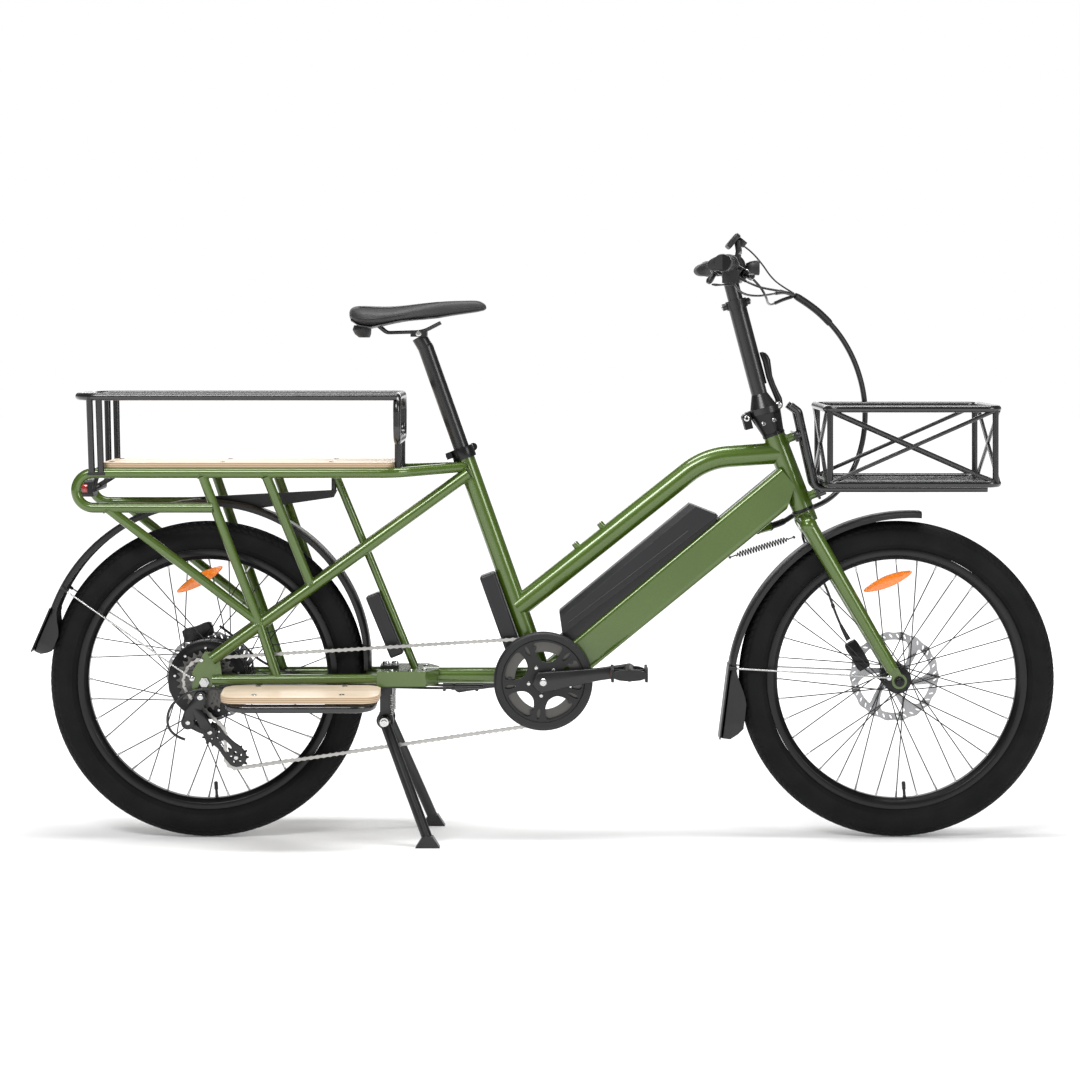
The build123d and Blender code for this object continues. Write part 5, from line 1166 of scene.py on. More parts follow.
def lever_clamps(alloy, screws, rubber):
    """Clamp, housing, reach to the pivot and hose boot of each brake lever."""
    for side in (-1, 1):
        middle, pivot = bar_point(side * 165), lever_pivot(side)
        along = (bar_point(side * 174) - bar_point(side * 156)).normalized()
        inward = vec(0, -side, 0)
        clamp = ring_profile(BAR_R, 0.0158, 0.018, 0.0008, 0.002)
        alloy.lathe(middle - along * 0.009, along, clamp, 40, closed=True)
        housing = middle + LEVER_OUT * 0.016 + inward * 0.002
        alloy.block(frame_at(housing, LEVER_OUT, LEVER_UP), (0.026, 0.018, 0.016))
        for low in (-0.0092, 0.0054):
            alloy.lathe(pivot + LEVER_UP * low, LEVER_UP, ring_profile(0.0025, 0.008, 0.0038), 32, closed=True)
            near = middle + LEVER_OUT * 0.020 + LEVER_UP * (low + 0.0019)
            far = pivot + LEVER_UP * (low + 0.0019)
            alloy.tube([near, near.lerp(far, 0.5), far - (far - near).normalized() * 0.003], 0.0019, 12, flat=3.2)
        screws.rod(pivot - LEVER_UP * 0.0090, pivot + LEVER_UP * 0.0090, 0.0025)
        screws.bolt(pivot + LEVER_UP * 0.0090, LEVER_UP, 0.0042, 0.002)
        screws.bolt(middle - LEVER_UP * 0.0155 + vec(0.004, 0, 0), -LEVER_UP, 0.0028, 0.0018)
        near, far = bar_point(side * 140) + LEVER_OUT * 0.020, bar_point(side * 118) + LEVER_OUT * 0.052
        reach = far - near
        alloy.tube([middle + LEVER_OUT * 0.018 + inward * 0.011, near + reach * 0.1, near + reach * 0.38],
                   [0.0062, 0.0058, 0.0056], 20)
        boot = [(0.0024, 0), (0.0058, 0), (0.0058, 0.004), (0.0048, 0.005), (0.0048, 0.008), (0.0040, 0.009),
                (0.0040, 0.013), (0.0034, 0.014), (0.0030, 0.0238), (0.0024, 0.0238)]
        rubber.lathe(near + reach * 0.36, reach, boot, 24, closed=True)
        screws.rod(near + reach * 0.30, near + reach * 0.36, 0.0052)


def shifter_and_throttle(plastic, screws):
    """Shifter pod with its box below the bar, and the throttle's collar."""
    for middle, ends, back, profile, segments in (
        (-187, (-178, -196), 0.0088, [(0.0165, 0), (0.0190, 0.003), (0.0190, 0.015), (0.0168, 0.0176)], 48),
        (182.5, (176, 190), 0.0047, [(0.0170, 0), (0.0175, 0.002), (0.0175, 0.0075), (0.0166, 0.0094)], 40),
    ):
        along = (bar_point(ends[1]) - bar_point(ends[0])).normalized()
        profile = [(BAR_R, 0)] + profile + [(BAR_R, profile[-1][1])]
        plastic.lathe(bar_point(middle) - along * back, along, profile, segments, closed=True)
        if middle < 0:
            box = bar_point(-186) + vec(0.004, 0, -0.024)
            plastic.block(Matrix.Translation(box), (0.034, 0.022, 0.026))
            plastic.block(Matrix.Translation(box + vec(0, 0.0115, 0.002)), (0.020, 0.003, 0.014))
            screws.bolt(box + vec(0, 0, -0.0132), (0, 0, -1), 0.005, 0.0018)


def controls():
    """Lever housings, shifter pod, throttle collar, display on its two arms and headlamp."""
    alloy, plastic, screws, rubber, glass, glow = (Shape() for _ in range(6))
    lever_clamps(alloy, screws, rubber)
    shifter_and_throttle(plastic, screws)
    for side in (-1, 1):
        foot = BAR_CENTRE + vec(0, side * 0.034, 0)
        plastic.lathe(foot - ACROSS * 0.005, ACROSS, ring_profile(BAR_R, 0.0155, 0.010, 0.0007, 0.001), 36,
                      closed=True)
        arm = [foot + vec(0.006, 0, 0.012), foot + vec(0.009, 0, 0.030), foot + vec(0.006, 0, 0.050)]
        plastic.tube(arm, 0.0045, 16, flat=0.8)
        screws.bolt(foot + vec(0.010, side * 0.0042, 0.024), (0, side, 0), 0.0034, 0.0018)
    display = frame_at(BAR_CENTRE + vec(-0.0035, 0, 0.0495), vec(-0.76, 0, 0.65).normalized())
    corners = rectangle(0.0185, 0.042)
    outline = rounded([p for a, b in zip(corners, corners[1:] + corners[:1])
                       for p in (a.lerp(b, 0.16), a.lerp(b, 0.84))], 2)
    levels = ((0.90, -0.0060), (0.985, -0.0042), (1.0, -0.001), (0.99, 0.0030), (0.95, 0.0042))
    plastic.stack(outline, display, levels)
    glass.prism([p * 0.86 for p in outline], display, 0.0043, 0.0049)
    plastic.block(frame_at(BAR_CENTRE + vec(0.014, 0, 0.047), (0.62, 0, 0.78)), (0.020, 0.050, 0.011))
    lamp = BAR_CENTRE + vec(0.037, 0, -0.004)
    front = frame_at(lamp, (1, 0, 0), (0, 0, 1))
    rim = rounded([vec(x, y) for x, y in ((-0.020, -0.010), (-0.014, -0.015), (0.014, -0.015), (0.020, -0.010),
                                          (0.020, 0.010), (0.014, 0.015), (-0.014, 0.015), (-0.020, 0.010))], 1)
    plastic.stack(rim, front, ((0.62, -0.0135), (0.86, -0.006), (0.97, 0.004), (1.0, 0.0115), (0.93, 0.0125)))
    plastic.tube([BAR_CENTRE + vec(0.019, 0, -0.004), lamp - vec(0.012, 0, 0)], 0.006, 16)
    glow.stack(rim, front, ((0.84, 0.0126), (0.80, 0.0129), (0.45, 0.0131)))
    alloy.piece("lever_bodies", "bar_assembly", "anodised", bevel=0.4, stands_for=["bar_controls"])
    plastic.piece("control_housings", "bar_assembly", "black_plastic", bevel=0.5)
    screws.piece("control_screws", "bar_assembly", "screw")
    rubber.piece("lever_boots", "bar_assembly", "grip_rubber")
    glass.piece("display_screen", "bar_assembly", "glass", bevel=0.2)
    glow.piece("headlamp_lens", "bar_assembly", "clear")


def thumb_levers():
    shift, throttle = Shape(), Shape()
    pivot = bar_point(-186) + vec(0.004, 0, -0.0375)
    shift.lathe(pivot, (0, 0, -1), cap_profile(0.008, 0.005, 0.0014, 0.001), 32)
    line = [(-3, 2, -2.5), (-12, 10, -2.6), (-20, 17, -2.8), (-28, 24, -2.6), (-34, 29, -1.8)]
    shift.tube([pivot + at(*p) for p in line], [0.0036, 0.0032, 0.0038, 0.0056, 0.0040], 16, flat=0.5, up=(0, 0, 1))
    shift.piece("shift_paddle", "shift_lever", "black_plastic", bevel=0.3, stands_for=["shift_lever"])
    start, end = bar_point(188.2), bar_point(198.2)
    throttle.lathe(start, end - start, ring_profile(0.0113, 0.0160, 0.010, 0.0008, 0.001), 40, closed=True)
    line = [(-8, -1, -12.5), (-12, -3, -17), (-16, -4, -22), (-20, -5, -28), (-22, -6, -32)]
    throttle.tube([bar_point(192.5) + at(*p) for p in line], [0.0050, 0.0056, 0.0068, 0.0068, 0.0045], 18,
                  flat=1.25)
    throttle.piece("throttle_paddle", "throttle", "black_plastic", bevel=0.3, stands_for=["throttle_lever"])


def latch():
    """Curved latch blade on its pivot barrel, and the bolts of the folding stem.

    A knot of the blade is (up, forwards, half thickness, half width), in millimetres.
    """
    knots = [(0, 1, 8.6, 10.5), (12, 2.0, 8.8, 10.0), (26, -0.5, 8.2, 9.5), (42, -3.0, 7.8, 10.0),
             (60, -4.5, 8.0, 10.8), (78, -3.0, 9.2, 11.2), (92, -2.0, 10.0, 11.2), (101, -3.5, 9.4, 10.6),
             (107, -5.5, 7.6, 9.6), (110.5, -8.0, 4.0, 8.0)]
    blade, pins, hinge, clamp, height_bolt = (Shape() for _ in range(5))
    blade.loft([[LATCH_PIVOT + POST_UP * (up / 1000) + POST_FORE * ((fore + 1.5 + thick * 0.8 * s) / 1000)
                 + ACROSS * (wide * c / 1000) for c, s in superellipse(24, 0.7)]
                for up, fore, thick, wide in knots])
    blade.lathe(LATCH_PIVOT - ACROSS * 0.0118, ACROSS, ring_profile(0.0031, 0.0075, 0.0236, 0.0009, 0.001), 32,
                closed=True)
    head_fore = square_to(HEAD_UP)
    collar = POST_TOP - POST_UP * 0.007
    for side in (-1, 1):
        pins.bolt(LATCH_PIVOT + ACROSS * (side * 0.0168), (0, side, 0), 0.0062, 0.0022)
        hinge.bolt(FOLD_HINGE + ACROSS * (side * 0.0242), (0, side, 0), 0.0058, 0.0022)
        for fore, out in ((0.010, 0.0268), (-0.012, 0.0262)):
            spot = HEAD_TOP + HEAD_UP * 0.030 + head_fore * fore + ACROSS * (side * out)
            hinge.bolt(spot, (0, side, 0.25), 0.0042, 0.0022)
        for way in (-1, 1):
            spot = BAR_CENTRE + POST_UP * (0.0150 * way) + vec(0.0155, side * 0.016, 0)
            clamp.bolt(spot, (1, 0, 0), 0.0034, 0.0022)
    clamp.bolt(collar + POST_FORE * 0.0268, POST_FORE, 0.0052, 0.0024)
    height_bolt.bolt(collar - POST_FORE * 0.0288, -POST_FORE, 0.0055, 0.0024)
    blade.piece("stem_latch_blade", "stem_latch", "anodised", bevel=0.3, stands_for=["stem_latch_lever"])
    pins.piece("latch_pin_heads", "handlepost", "screw")
    hinge.piece("stem_hinge_bolts", "fork", "screw")
    clamp.piece("stem_clamp_bolts", "bar_assembly", "screw")
    height_bolt.piece("height_clamp_bolt", "handlepost", "screw")


# ------------------------------------------------------------------------------ saddle
def saddle():
    """Padded saddle: crowned wings, a long nose, a central channel, a seam and a bumper line."""
    rows = [(-0.3868, 0.020, 1.046, 1.036, 0.0), (-0.382, 0.052, 1.056, 1.026, 0.004),
            (-0.366, 0.066, 1.0600, 1.016, 0.008),
            (-0.342, 0.0745, 1.0590, 1.012, 0.010), (-0.315, 0.0735, 1.0580, 1.018, 0.011),
            (-0.288, 0.064, 1.0590, 1.024, 0.010), (-0.262, 0.049, 1.0620, 1.028, 0.009),
            (-0.236, 0.0365, 1.0655, 1.030, 0.008), (-0.208, 0.0285, 1.0685, 1.033, 0.007),
            (-0.180, 0.0245, 1.0705, 1.038, 0.006), (-0.152, 0.0225, 1.0710, 1.042, 0.005),
            (-0.132, 0.0200, 1.0695, 1.045, 0.004), (-0.119, 0.0140, 1.0640, 1.048, 0.003),
            (-0.1135, 0.0050, 1.0575, 1.051, 0.001)]
    cover = Shape()
    sections = []
    for x, half, top, low, crown in rows:
        section = []
        rise = top - low
        for c, s in turns(28):
            y = half * math.copysign(abs(c) ** 0.72, c)
            if s >= 0:
                z = low + rise * (0.42 + 0.58 * abs(s) ** 0.55)
                z -= crown * (abs(y) / max(half, 0.001)) ** 2.4
                channel = math.exp(-(y / 0.009) ** 2) * 0.0045
                z -= channel if -0.372 < x < -0.150 and half > 0.02 else 0.0
            else:
                z = low + rise * 0.42 * (1 - abs(s) ** 0.8)
                y *= 1 - 0.10 * abs(s)
            section.append(vec(x, y, z))
        sections.append(section)
    cover.loft(sections)
    obj = cover.piece("saddle_cover", "seat", "vinyl", subdivide=2, stands_for=["saddle"])
    seam = Shape()
    for side in (-1, 1):
        line = [vec(x, side * half * 0.962, low + (top - low) * 0.40) for x, half, top, low, _ in rows[1:-1]]
        seam.tube(catmull(line, 6), 0.0011, 8)
        ridge = [vec(x, side * half * 0.62, top - crown * 0.62 ** 2.4 - (top - low) * 0.58 * 0.045 - 0.0006)
                 for x, half, top, low, crown in rows[2:9]]
        seam.tube(catmull(ridge, 6), 0.0009, 8)
    seam.piece("saddle_piping", "seat", "grip_rubber", slot="saddle_cover")
    base = [[vec(x, half * 0.86 * c, low + 0.0035 + 0.0035 * s) for c, s in turns(16)]
            for x, half, _, low, _ in rows[1:-1]]
    Shape().loft(base).piece("saddle_base", "seat", "black_plastic")
    bumper = [[vec(back + 0.012 + deep * 0.9 * s, half * c, z) for c, s in turns(28)] for z, back, half, deep in (
        (1.019, -0.372, 0.032, 0.020), (1.010, -0.374, 0.034, 0.021), (1.001, -0.372, 0.030, 0.018),
        (0.9945, -0.369, 0.022, 0.012))]
    Shape().loft(bumper).piece("saddle_bumper", "seat", "grip_rubber", bevel=1.0)
    bolts = Shape()
    for side in (-1, 1):
        bolts.bolt(vec(-0.248, side * 0.0270, 1.0025), (0, side, 0), 0.0060, 0.0030)
    bolts.piece("saddle_clamp_bolts", "seat", "screw")


def catmull(points, steps):
    """Smooth line through the points."""
    line = []
    for i in range(len(points) - 1):
        p0, p1 = points[max(i - 1, 0)], points[i]
        p2, p3 = points[i + 1], points[min(i + 2, len(points) - 1)]
        for k in range(steps):
            t = k / steps
            line.append(0.5 * (2 * p1 + (p2 - p0) * t + (2 * p0 - 5 * p1 + 4 * p2 - p3) * t * t
                               + (3 * p1 - p0 - 3 * p2 + p3) * t * t * t))
    return line + [points[-1]]



# ------------------------------------------------------------------- rear drivetrain
def derailleur():
    """Linkage body with its bolts, and a cage of two pierced plates on stand-offs."""
    body, cage, screws = Shape(), Shape(), Shape()
    mount, middle, knuckle = at(-675, -80, 287), at(-700, -72, 236), at(-658, -62, 216)
    hanger = [at(-668, -74, 309), at(-672, -74, 300), at(-675, -75, 290)]
    body.tube(hanger, [0.0105, 0.0100, 0.0095], 24, flat=0.28)
    body.lathe(mount - ACROSS * 0.009, ACROSS, [(0, 0), (0.0105, 0), (0.0125, 0.002), (0.0125, 0.016),
               (0.0105, 0.018), (0, 0.018)], 32)
    for shift, deep in ((-0.0042, 0.0052), (0.0052, 0.0044)):
        body.tube([mount + vec(0.000, shift, -0.002), mount + vec(-0.008, shift, -0.018),
                   mount.lerp(middle, 0.62) + vec(-0.004, shift, 0), middle + vec(0, shift, 0.002)],
                  [0.0125, 0.0145, 0.0135, 0.0135], 24, flat=deep / 0.0125)
    body.tube([at(-686, -84, 268), at(-676, -86, 250), at(-668, -80, 232), at(-660, -70, 220)],
              [0.0075, 0.0105, 0.0110, 0.0100], 20, flat=0.55)
    body.lathe(middle - ACROSS * 0.010, ACROSS, [(0, 0), (0.0120, 0), (0.0140, 0.002), (0.0140, 0.018),
               (0.0120, 0.020), (0, 0.020)], 32)
    body.tube([middle + vec(0.004, 0, -0.002), middle.lerp(knuckle, 0.5) + vec(0, 0, -0.003),
               knuckle + vec(-0.004, 0, 0.002)], [0.0100, 0.0086, 0.0110], 24, flat=0.85)
    body.lathe(knuckle - ACROSS * 0.009, ACROSS, [(0, 0), (0.0115, 0), (0.0135, 0.002), (0.0135, 0.015),
               (0.0120, 0.017), (0, 0.017)], 36)
    for spot, size in ((mount, 0.0062), (middle, 0.0050), (knuckle, 0.0052)):
        screws.bolt(spot - vec(0, 0.0098, 0), (0, -1, 0), size, 0.0026)
    for height in (-0.005, 0.004):
        screws.bolt(middle + vec(-0.0095, -0.002, height), (-1, 0, 0), 0.0024, 0.0016)
    screws.lathe(mount + vec(-0.010, 0, -0.012), (-1, 0, 0.25), [(0, 0), (0.0040, 0), (0.0040, 0.005),
                 (0.0032, 0.0055), (0.0032, 0.009), (0, 0.009)], 20)
    upper, lower = (vec(*spot) for spot in JOCKEYS.values())
    along = (lower - upper).normalized()
    square = vec(-along.y, along.x)

    def spot(t, off):
        return upper.lerp(lower, t) + square * off

    outline = [spot(-0.30, -0.005), spot(-0.34, 0.012), spot(-0.10, 0.0195), spot(0.25, 0.0160), spot(0.60, 0.0165),
               spot(0.90, 0.0215), spot(1.24, 0.0165), spot(1.34, -0.002), spot(1.12, -0.0180), spot(0.72, -0.0175),
               spot(0.40, -0.0130), spot(0.10, -0.0170), spot(-0.14, -0.0180)]
    holes = [rounded([spot(0.28, -0.0055), spot(0.28, 0.0075), spot(0.50, 0.0085), spot(0.72, 0.0080),
                      spot(0.72, -0.0085), spot(0.50, -0.0070)], 2)]
    holes += [circle(0.0030, 12, pulley + polar(0.0098, 72 * k + 30))
              for pulley in (upper, lower) for k in range(5)]
    for y in (-0.0061, 0.0061):
        cage.sheet(rounded(outline, 2), holes, Matrix.Translation((0, CHAIN_Y + y, 0)) @ SIDE_VIEW, -0.0009, 0.0009)
    for p in (upper, lower):
        screws.bolt(vec(p.x, CHAIN_Y - 0.0070, p.y), (0, -1, 0), 0.0044, 0.0018)
        screws.rod(vec(p.x, CHAIN_Y - 0.0070, p.y), vec(p.x, CHAIN_Y + 0.0070, p.y), 0.0024)
    body.piece("derailleur_linkage", "frame", "satin_black", bevel=0.4, stands_for=["derailleur"],
               slot="black_metal")
    cage.piece("derailleur_cage", "frame", "satin_black", slot="black_metal")
    screws.piece("derailleur_bolts", "frame", "screw")


def caliper(name, body_name, centre, degrees, disc_y, node):
    """Two-piece hydraulic caliper: halves on either side of the disc, piston cap, bridge, bolts and fins."""
    turn = math.radians(degrees)
    long = vec(math.sin(turn), 0, math.cos(turn))
    across = vec(long.z, 0, -long.x)
    shell, screws, fins = Shape(), Shape(), Shape()
    outline = rounded([vec(u, v) for u, v in (
        (-0.0115, -0.031), (0.0115, -0.031), (0.0140, -0.024), (0.0148, 0.0), (0.0140, 0.024), (0.0115, 0.031),
        (-0.0115, 0.031), (-0.0148, 0.020), (-0.0120, 0.0), (-0.0148, -0.020))], 2)
    for side, deep in ((-1, 0.0045), (1, 0.0110)):
        near, half = disc_y + side * 0.0014, deep / 2
        place = axes(vec(centre.x, near + side * half, centre.z), across, long, ACROSS)
        shell.stack(outline, place, ((0.94, -half), (1.0, -half * 0.6), (1.0, half * 0.6), (0.94, half)))
        if side > 0:
            cap = vec(centre.x, near + deep - 0.002, centre.z)
            shell.lathe(cap, ACROSS, cap_profile(0.0118, 0.0020, 0.0008, 0.0010), 36)
    bridge = vec(centre.x, disc_y + 0.003, centre.z)
    for way in (-1, 1):
        shell.block(axes(bridge + long * (0.0265 * way), across, ACROSS, -long), (0.024, 0.016, 0.008))
        screws.bolt(bridge + long * (0.0240 * way) + ACROSS * 0.0090, ACROSS, 0.0036, 0.0022)
    for k in range(5):
        spot = bridge + across * 0.0128 + long * (-0.012 + 0.006 * k)
        fins.block(axes(spot, across, ACROSS, -long), (0.0022, 0.012, 0.0022))
    shell.piece(name + "_body", body_name, "anodised", bevel=0.5, stands_for=[node])
    screws.piece(name + "_bolts", body_name, "screw")
    fins.piece(name + "_pads", body_name, "steel")


# --------------------------------------------------------------------- frame details
def coil(start, end, hook, radius, coils, steps_per_coil, ease=False):
    """Points of a coil between two hooks; ease narrows it towards its ends."""
    reach = end - start
    forward = reach.normalized()
    other = forward.cross(ACROSS)
    steps = coils * steps_per_coil
    for k in range(steps + 1):
        t, a = k / steps, 2 * math.pi * k / steps_per_coil
        size = radius * (min(1.0, 10 * t, 10 * (1 - t)) if ease else 1.0)
        middle = start + forward * (hook + (reach.length - 2 * hook) * t)
        yield middle + (ACROSS * math.cos(a) + other * math.sin(a)) * size


def steering_spring():
    """Coil spring between the down tube and the fork crown, with a pin at either end."""
    start, end = at(372, 0, 556), at(500, 0, 596)
    shape = Shape().tube([start, *coil(start, end, 0.010, 0.0058, 20, 14, ease=True), end], 0.00125, 8)
    for spot in (start, end):
        shape.rod(spot - ACROSS * 0.007, spot + ACROSS * 0.007, 0.0026, segments=16)
    obj = shape.piece("steering_spring_coil", None, "gloss_black", stands_for=["steering_spring"], angle=60)
    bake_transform(obj)


def fender_stays():
    """Bright wire stays with end caps and fixing bolts."""
    for word, rides, far, near in (("rear", "frame", (-955, 35, 497), (-692, 77, 322)),
                                   ("front", "fork", (372, 35, 338), (684, 61, 322))):
        wires, caps, screws = Shape(), Shape(), Shape()
        for side in (-1, 1):
            a, b = (at(x, side * y, z) for x, y, z in (far, near))
            forward = (b - a).normalized()
            wires.tube([a, a.lerp(b, 0.5), b], 0.0018, 12)
            caps.tube([a - forward * 0.003, a + forward * 0.011, a + forward * 0.013], [0.0034, 0.0034, 0.0024], 16)
            screws.lathe(b - vec(0, side * 0.002, 0), (0, side, 0), cap_profile(0.0052, 0.0048, 0.0012, 0.0008), 20)
        wires.piece(word + "_stay_wires", rides, "steel")
        caps.piece(word + "_stay_caps", rides, "black_plastic")
        screws.piece(word + "_stay_screws", rides, "screw")


def mud_flap(name, body, root, tip, inward, depth):
    """Flexible flap at a mudguard's end: a channel that deepens towards its rounded tip."""
    root, tip = at(*root), at(*tip)
    inward = Vector(inward).normalized()
    sections = []
    for k in range(13):
        t = k / 12
        spot = root.lerp(tip, t)
        wide = 0.0335 * (1 - 0.10 * t - 0.34 * max(0.0, t - 0.86) / 0.14)
        deep = 0.013 + (depth - 0.013) * smooth_rise(t / 0.55)
        deep *= 1 - 0.55 * max(0.0, t - 0.86) / 0.14
        curve = [(-wide, deep), (-wide, deep * 0.5), (-wide * 0.93, 0.004), (-wide * 0.6, 0.0008), (0, 0.0002)]
        curve += [(-y, d) for y, d in reversed(curve[:-1])]
        inner = [(y * 0.955, max(d, 0.0) + (0.0018 if abs(y) < wide * 0.95 else 0.0)) for y, d in reversed(curve)]
        sections.append([spot + vec(0, y, 0) + inward * d for y, d in curve + inner])
    shape = Shape()
    shape.loft(sections)
    shape.piece(name, body, "black_plastic", bevel=0.3, angle=50)


def mud_flaps():
    mud_flap("rear_mud_flap", "frame", (-977, 0, 460), (-1015, 0, 371), (0.92, 0, -0.39), 0.036)
    mud_flap("front_mud_flap", "fork", (371, 0, 346), (353, 0, 197), (0.993, 0, -0.118), 0.042)


def weld(shape, foot, end, radius, main_foot, main_end, main_radius, size=0.0021):
    """Rippled fillet where a tube that runs from foot to end first meets a main tube."""
    foot, end, main_foot, main_end = (Vector(p) / 1000 for p in (foot, end, main_foot, main_end))
    radius, main_radius = radius / 1000, main_radius / 1000
    along = (end - foot).normalized()
    main = (main_end - main_foot).normalized()
    side = along.cross(main).normalized()
    other = along.cross(side)
    cut = along - main * along.dot(main)
    line, sizes = [], []
    count = 108
    for k in range(count):
        a = 2 * math.pi * k / count
        start = foot + (side * math.cos(a) + other * math.sin(a)) * radius
        gap = start - main_foot
        gap -= main * gap.dot(main)
        p, q = gap.dot(cut) / cut.length_squared, (gap.length_squared - main_radius ** 2) / cut.length_squared
        line.append(start + along * (-p - math.sqrt(max(0.0, p * p - q))))
        sizes.append(size * (1 + 0.14 * math.sin(a * 36)))
    shape.tube(line, sizes, 10, closed=True)


def welds():
    """Weld beads round the frame's tube joints."""
    shape = Shape()
    seat_foot, seat_top = BOTTOM_BRACKET * 1000, SEAT_TOP * 1000
    head_foot, head_top = HEAD_BOTTOM * 1000, HEAD_TOP * 1000
    shell = ((0, -40, 315), (0, 40, 315), 24)
    weld(shape, seat_foot + SEAT_UP * 90, seat_foot, 19, *shell)
    weld(shape, (-200, 0, 321), (0, 0, 321), 16, *shell)
    weld(shape, (324, 0, 754), (476, 0, 765), 16.5, head_foot, head_top, 22)
    weld(shape, (100, 0, 576), (-52, 0, 455), 16.5, seat_foot, seat_top, 19)
    for height in (18, 140):
        post = head_foot + HEAD_UP * height
        weld(shape, post + square_to(HEAD_UP) * 40, post, 9, head_foot, head_top, 22, 0.0016)
    for side in (-1, 1):
        seat_stay = ((-150, 18 * side, 724), (-654, 77 * side, 360), 12.5)
        weld(shape, seat_stay[1], seat_stay[0], 12.5, seat_foot, seat_top, 19)
        weld(shape, (-290, 110 * side, 729), (-158, 14 * side, 737), 10, seat_foot, seat_top, 19, 0.0018)
        rail = ((-800, 110 * side, 729), (-300, 110 * side, 729), 10)
        low_rail = ((-900, 110 * side, 661), (-648, 110 * side, 661), 10)
        weld(shape, (-852, 110 * side, 640), (-852, 110 * side, 658), 9.5, *low_rail, 0.0016)
        for top, foot in (((-668, 110, 723), (-560, 70, 430)), ((-543, 110, 723), (-459, 55, 503))):
            top = vec(top[0], top[1] * side, top[2])
            foot = vec(foot[0], foot[1] * side, foot[2])
            weld(shape, foot, top, 9.5, *rail, 0.0016)
            weld(shape, top, foot, 9.5, *seat_stay, 0.0016)
        weld(shape, (-852, 110 * side, 658), (-566, 70 * side, 436), 9.5, *seat_stay, 0.0016)
        for x in (-850, -632, -418):
            weld(shape, (x, 0, 729), (x, 110 * side, 729), 7.5, *rail, 0.0014)
    shape.piece("frame_welds", "frame", "green", angle=60)
    fork = Shape()
    for side in (-1, 1):
        weld(fork, (525, 56 * side, 622), (520, 6 * side, 631), 16.5, head_foot - HEAD_UP * 40, head_top, 21)
    fork.piece("fork_welds", "fork", "green", angle=60)


def frame_fittings():
    """Screws of the deck, boards and stand, bottle bosses, cable gland and headset rings."""
    screws, dark, rubber = Shape(), Shape(), Shape()
    boss_up = vec(-0.624, 0, 0.781).normalized()
    for x, z in ((117, 618), (67, 578)):
        spot = at(x, 0, z) + boss_up * 0.008
        screws.lathe(spot, boss_up, [(0.0026, 0), (0.0058, 0), (0.0058, 0.0012), (0.0026, 0.0012)], 24, closed=True)
    deck_top, stand_top = 749.2, 0.3362
    for x in (-850, -632, -418):
        for y in (-75, 75):
            screws.bolt(at(x, y, deck_top), (0, 0, 1), 0.0058, 0.0016)
    tilt = math.radians(5)
    for side in (-1, 1):
        up = vec(0, side * math.sin(tilt), math.cos(tilt))
        for x in (-0.560, -0.390):
            for across in (0.096, 0.180):
                spot = vec(x, side * across, 0.3102 - (across - 0.082) * math.tan(tilt))
                screws.bolt(spot, up, 0.0056, 0.0016)
        foot = REAR_AXLE + vec(-0.006, side * 0.0745, 0.044)
        screws.bolt(foot, (0, side, 0), 0.0044, 0.0024)
        foot = at(-650, side * 74.5, 306)
        screws.bolt(foot, (0, side, 0), 0.0040, 0.0022)
        for x, y in ((-0.300, 0.060), (-0.262, 0.060), (-0.236, 0.040)):
            screws.bolt(vec(x, side * y, stand_top), (0, 0, 1), 0.0052, 0.0024)
    for x in (-0.314, -0.296):
        screws.bolt(vec(x, 0, 0.3421), (0, 0, 1), 0.0074, 0.0072)
    gland = at(452, 22, 616)
    axis = vec(-28, -24, -6).normalized()
    rubber.lathe(gland - axis * 0.006, axis, [(0.0060, 0), (0.0088, 0.001), (0.0094, 0.003), (0.0094, 0.007),
                 (0.0060, 0.008)], 28, closed=True)
    profile = [(0.0212, 0), (0.0232, 0.0006), (0.0232, 0.0019), (0.0224, 0.0022), (0.0224, 0.0028),
               (0.0232, 0.0032), (0.0232, 0.0050), (0.0212, 0.0055)]
    for foot in (HEAD_BOTTOM - HEAD_UP * 0.0056, HEAD_TOP + HEAD_UP * 0.0003):
        dark.lathe(foot, HEAD_UP, profile, 56, closed=True)
    screws.piece("frame_screws", "frame", "screw")
    rubber.piece("cable_gland", "frame", "grip_rubber")
    dark.piece("headset_rings", "frame", "anodised", bevel=0.2)


def tail_lamp():
    """Ribbed red lens of the rear light."""
    lens_shape, ribs = Shape(), Shape()
    outline = rounded(rectangle(0.0172, 0.0322), 2)
    place = frame_at(vec(-0.918, 0, 0.695), (-1, 0, 0))
    lens_shape.stack(outline, place, ((1.06, -0.0130), (1.06, -0.0030), (1.0, 0.0004), (0.80, 0.0014)))
    lens_shape.piece("tail_lens", "frame", "red", bevel=0.3)
    for y in (-0.022, -0.011, 0.0, 0.011, 0.022):
        ribs.block(frame_at(vec(-0.9188, y, 0.695), (-1, 0, 0), (0, 0, 1)), (0.0012, 0.026, 0.0018))
    ribs.piece("tail_lens_ribs", "frame", "red")


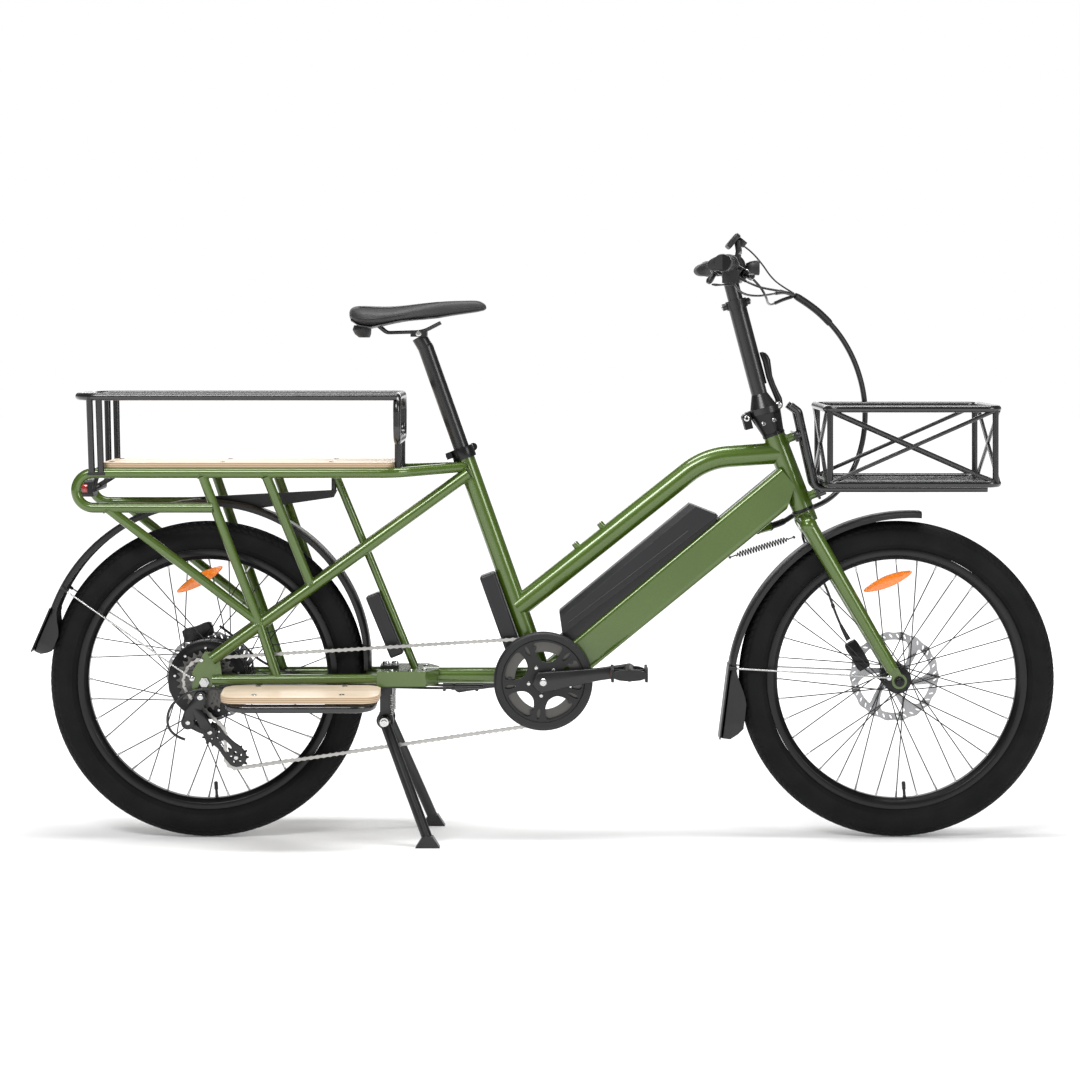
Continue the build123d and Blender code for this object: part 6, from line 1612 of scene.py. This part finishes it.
def battery_trim():
    """Seams, lock and charge cap of the battery."""
    trim, lock_face, cap = Shape(), Shape(), Shape()
    low, high = at(37.8, 0, 405.4), at(347.2, 0, 642.1)
    along = (high - low).normalized()
    half_width, proud = 0.0381, 0.0001
    for side in (-1, 1):
        start = low + along * 0.012 + vec(0.002, side * half_width, 0.016)
        trim.tube([start, start + along * 0.30], 0.0011, 8)
    lock = low.lerp(high, 0.80) + vec(-0.016, half_width + proud, 0.012)
    lock_face.lathe(lock, ACROSS, cap_profile(0.0085, 0.0016, 0.0015, 0.0006), 32)
    trim.block(frame_at(lock + ACROSS * 0.0017, ACROSS, along), (0.0016, 0.007, 0.0008))
    cap.lathe(low.lerp(high, 0.12) + vec(-0.010, half_width + proud, 0.022), ACROSS,
              cap_profile(0.0115, 0.0028, 0.0015, 0.0010), 36)
    trim.piece("battery_seams", "battery", "black_plastic")
    lock_face.piece("battery_lock", "battery", "screw")
    cap.piece("battery_charge_cap", "battery", "grip_rubber", bevel=0.3)


def motor_details():
    """Cover bolts and rings of the rear hub motor, and the front hub's end caps."""
    shape, rings, front = Shape(), Shape(), Shape()
    for side in (-1, 1):
        for k in range(9):
            spot = wheel_point(REAR_AXLE, 0.064, 40 * k + 12, side * (0.0472 if side > 0 else 0.0342))
            shape.bolt(spot, (0, side, 0), 0.0030, 0.0014)
        for radius in (0.0118, 0.0150):
            rings.lathe(FRONT_AXLE + vec(0, side * 0.0503, 0), (0, side, 0),
                        ring_profile(radius, radius + 0.0022, 0.0008), 40, closed=True)
        front.bolt(FRONT_AXLE + vec(0, side * 0.0702, 0), (0, side, 0), 0.0074, 0.0030)
    shape.piece("motor_cover_bolts", "rear_wheel", "screw")
    rings.piece("front_hub_rings", "front_wheel", "anodised")
    front.piece("front_axle_caps", "fork", "anodised")


def stand_details():
    """Ribs under the stand's feet, its return springs and its pivot bolts."""
    ribs, springs, pivots = Shape(), Shape(), Shape()
    for side in (-1, 1):
        for k in range(5):
            ribs.block(Matrix.Translation((-0.246 + 0.010 * k, side * 0.140, 0.0013)), (0.0040, 0.026, 0.0020))
        start = STAND_PIVOT + vec(0.014, side * 0.044, 0.012)
        springs.tube(list(coil(start, at(-300, side * 44, 288), 0, 0.0035, 12, 12)), 0.0008, 6)
        hub = STAND_PIVOT + vec(0, side * 0.066, 0)
        pivots.lathe(hub, (0, side, 0), [(0.0050, 0), (0.0094, 0), (0.0094, 0.0052), (0.0084, 0.0062),
                     (0.0050, 0.0062)], 32, closed=True)
        pivots.bolt(hub + vec(0, side * 0.0040, 0), (0, side, 0), 0.0066, 0.0032)
    ribs.piece("stand_foot_ribs", "kickstand", "grip_rubber", bevel=0.2)
    springs.piece("stand_springs", "frame", "steel")
    pivots.piece("stand_pivot_bolts", "kickstand", "screw")


# ------------------------------------------------------------------------------ stage
def area_light(name, place, target, size, power):
    data = bpy.data.lights.new(name, "AREA")
    data.shape, data.size, data.size_y, data.energy = "RECTANGLE", size[0], size[1], power
    light = add_object(name, data)
    light.location = place
    light.rotation_euler = (Vector(target) - Vector(place)).to_track_quat("-Z", "Y").to_euler()


def stage():
    bpy.ops.mesh.primitive_plane_add(size=60, location=(0, 0, -0.0005))
    floor = bpy.context.object
    floor.name = "floor"
    floor.data.materials.append(floor_paper())
    world = bpy.data.worlds.new("studio")
    world.use_nodes = True
    tree = world.node_tree
    seen, lit = tree.nodes["Background"], tree.nodes.new("ShaderNodeBackground")
    for background, strength in ((seen, 1.0), (lit, 0.20)):
        background.inputs["Color"].default_value = (1.0, 1.0, 1.0, 1)
        background.inputs["Strength"].default_value = strength
    rays = tree.nodes.new("ShaderNodeLightPath")
    choice = tree.nodes.new("ShaderNodeMixShader")
    tree.links.new(rays.outputs["Is Camera Ray"], choice.inputs[0])
    tree.links.new(lit.outputs[0], choice.inputs[1])
    tree.links.new(seen.outputs[0], choice.inputs[2])
    tree.links.new(choice.outputs[0], tree.nodes["World Output"].inputs["Surface"])
    bpy.context.scene.world = world
    area_light("key", (-1.8, -3.6, 3.6), (0, 0, 0.5), (2.4, 1.0), 135)
    area_light("fill", (3.2, -3.0, 2.2), (0.2, 0, 0.5), (1.4, 1.8), 62)
    area_light("top", (0.0, -0.2, 4.2), (0, 0, 0.4), (4.0, 0.9), 165)
    area_light("back", (0.0, 4.0, 2.5), (0, 0, 0.6), (4.0, 2.0), 60)
    bpy.context.scene.view_settings.view_transform = "Standard"


camera()
cords()
carry_nodes()
wheels()
chain()
chainring()
crank_arms()
pedal("right", -1)
pedal("left", 1)
for pulley in JOCKEYS:
    jockey(pulley)
sprockets()
grips()
brake_lever("right", -1)
brake_lever("left", 1)
controls()
thumb_levers()
latch()
saddle()
derailleur()
caliper("rear_caliper", "frame", at(-694, 0, 402.5), 72, 0.046, "rear_brake_caliper")
caliper("front_caliper", "fork", at(630, 0, 356.5), -30, 0.038, "front_brake_caliper")
steering_spring()
fender_stays()
mud_flaps()
welds()
frame_fittings()
tail_lamp()
battery_trim()
motor_details()
stand_details()
stage()
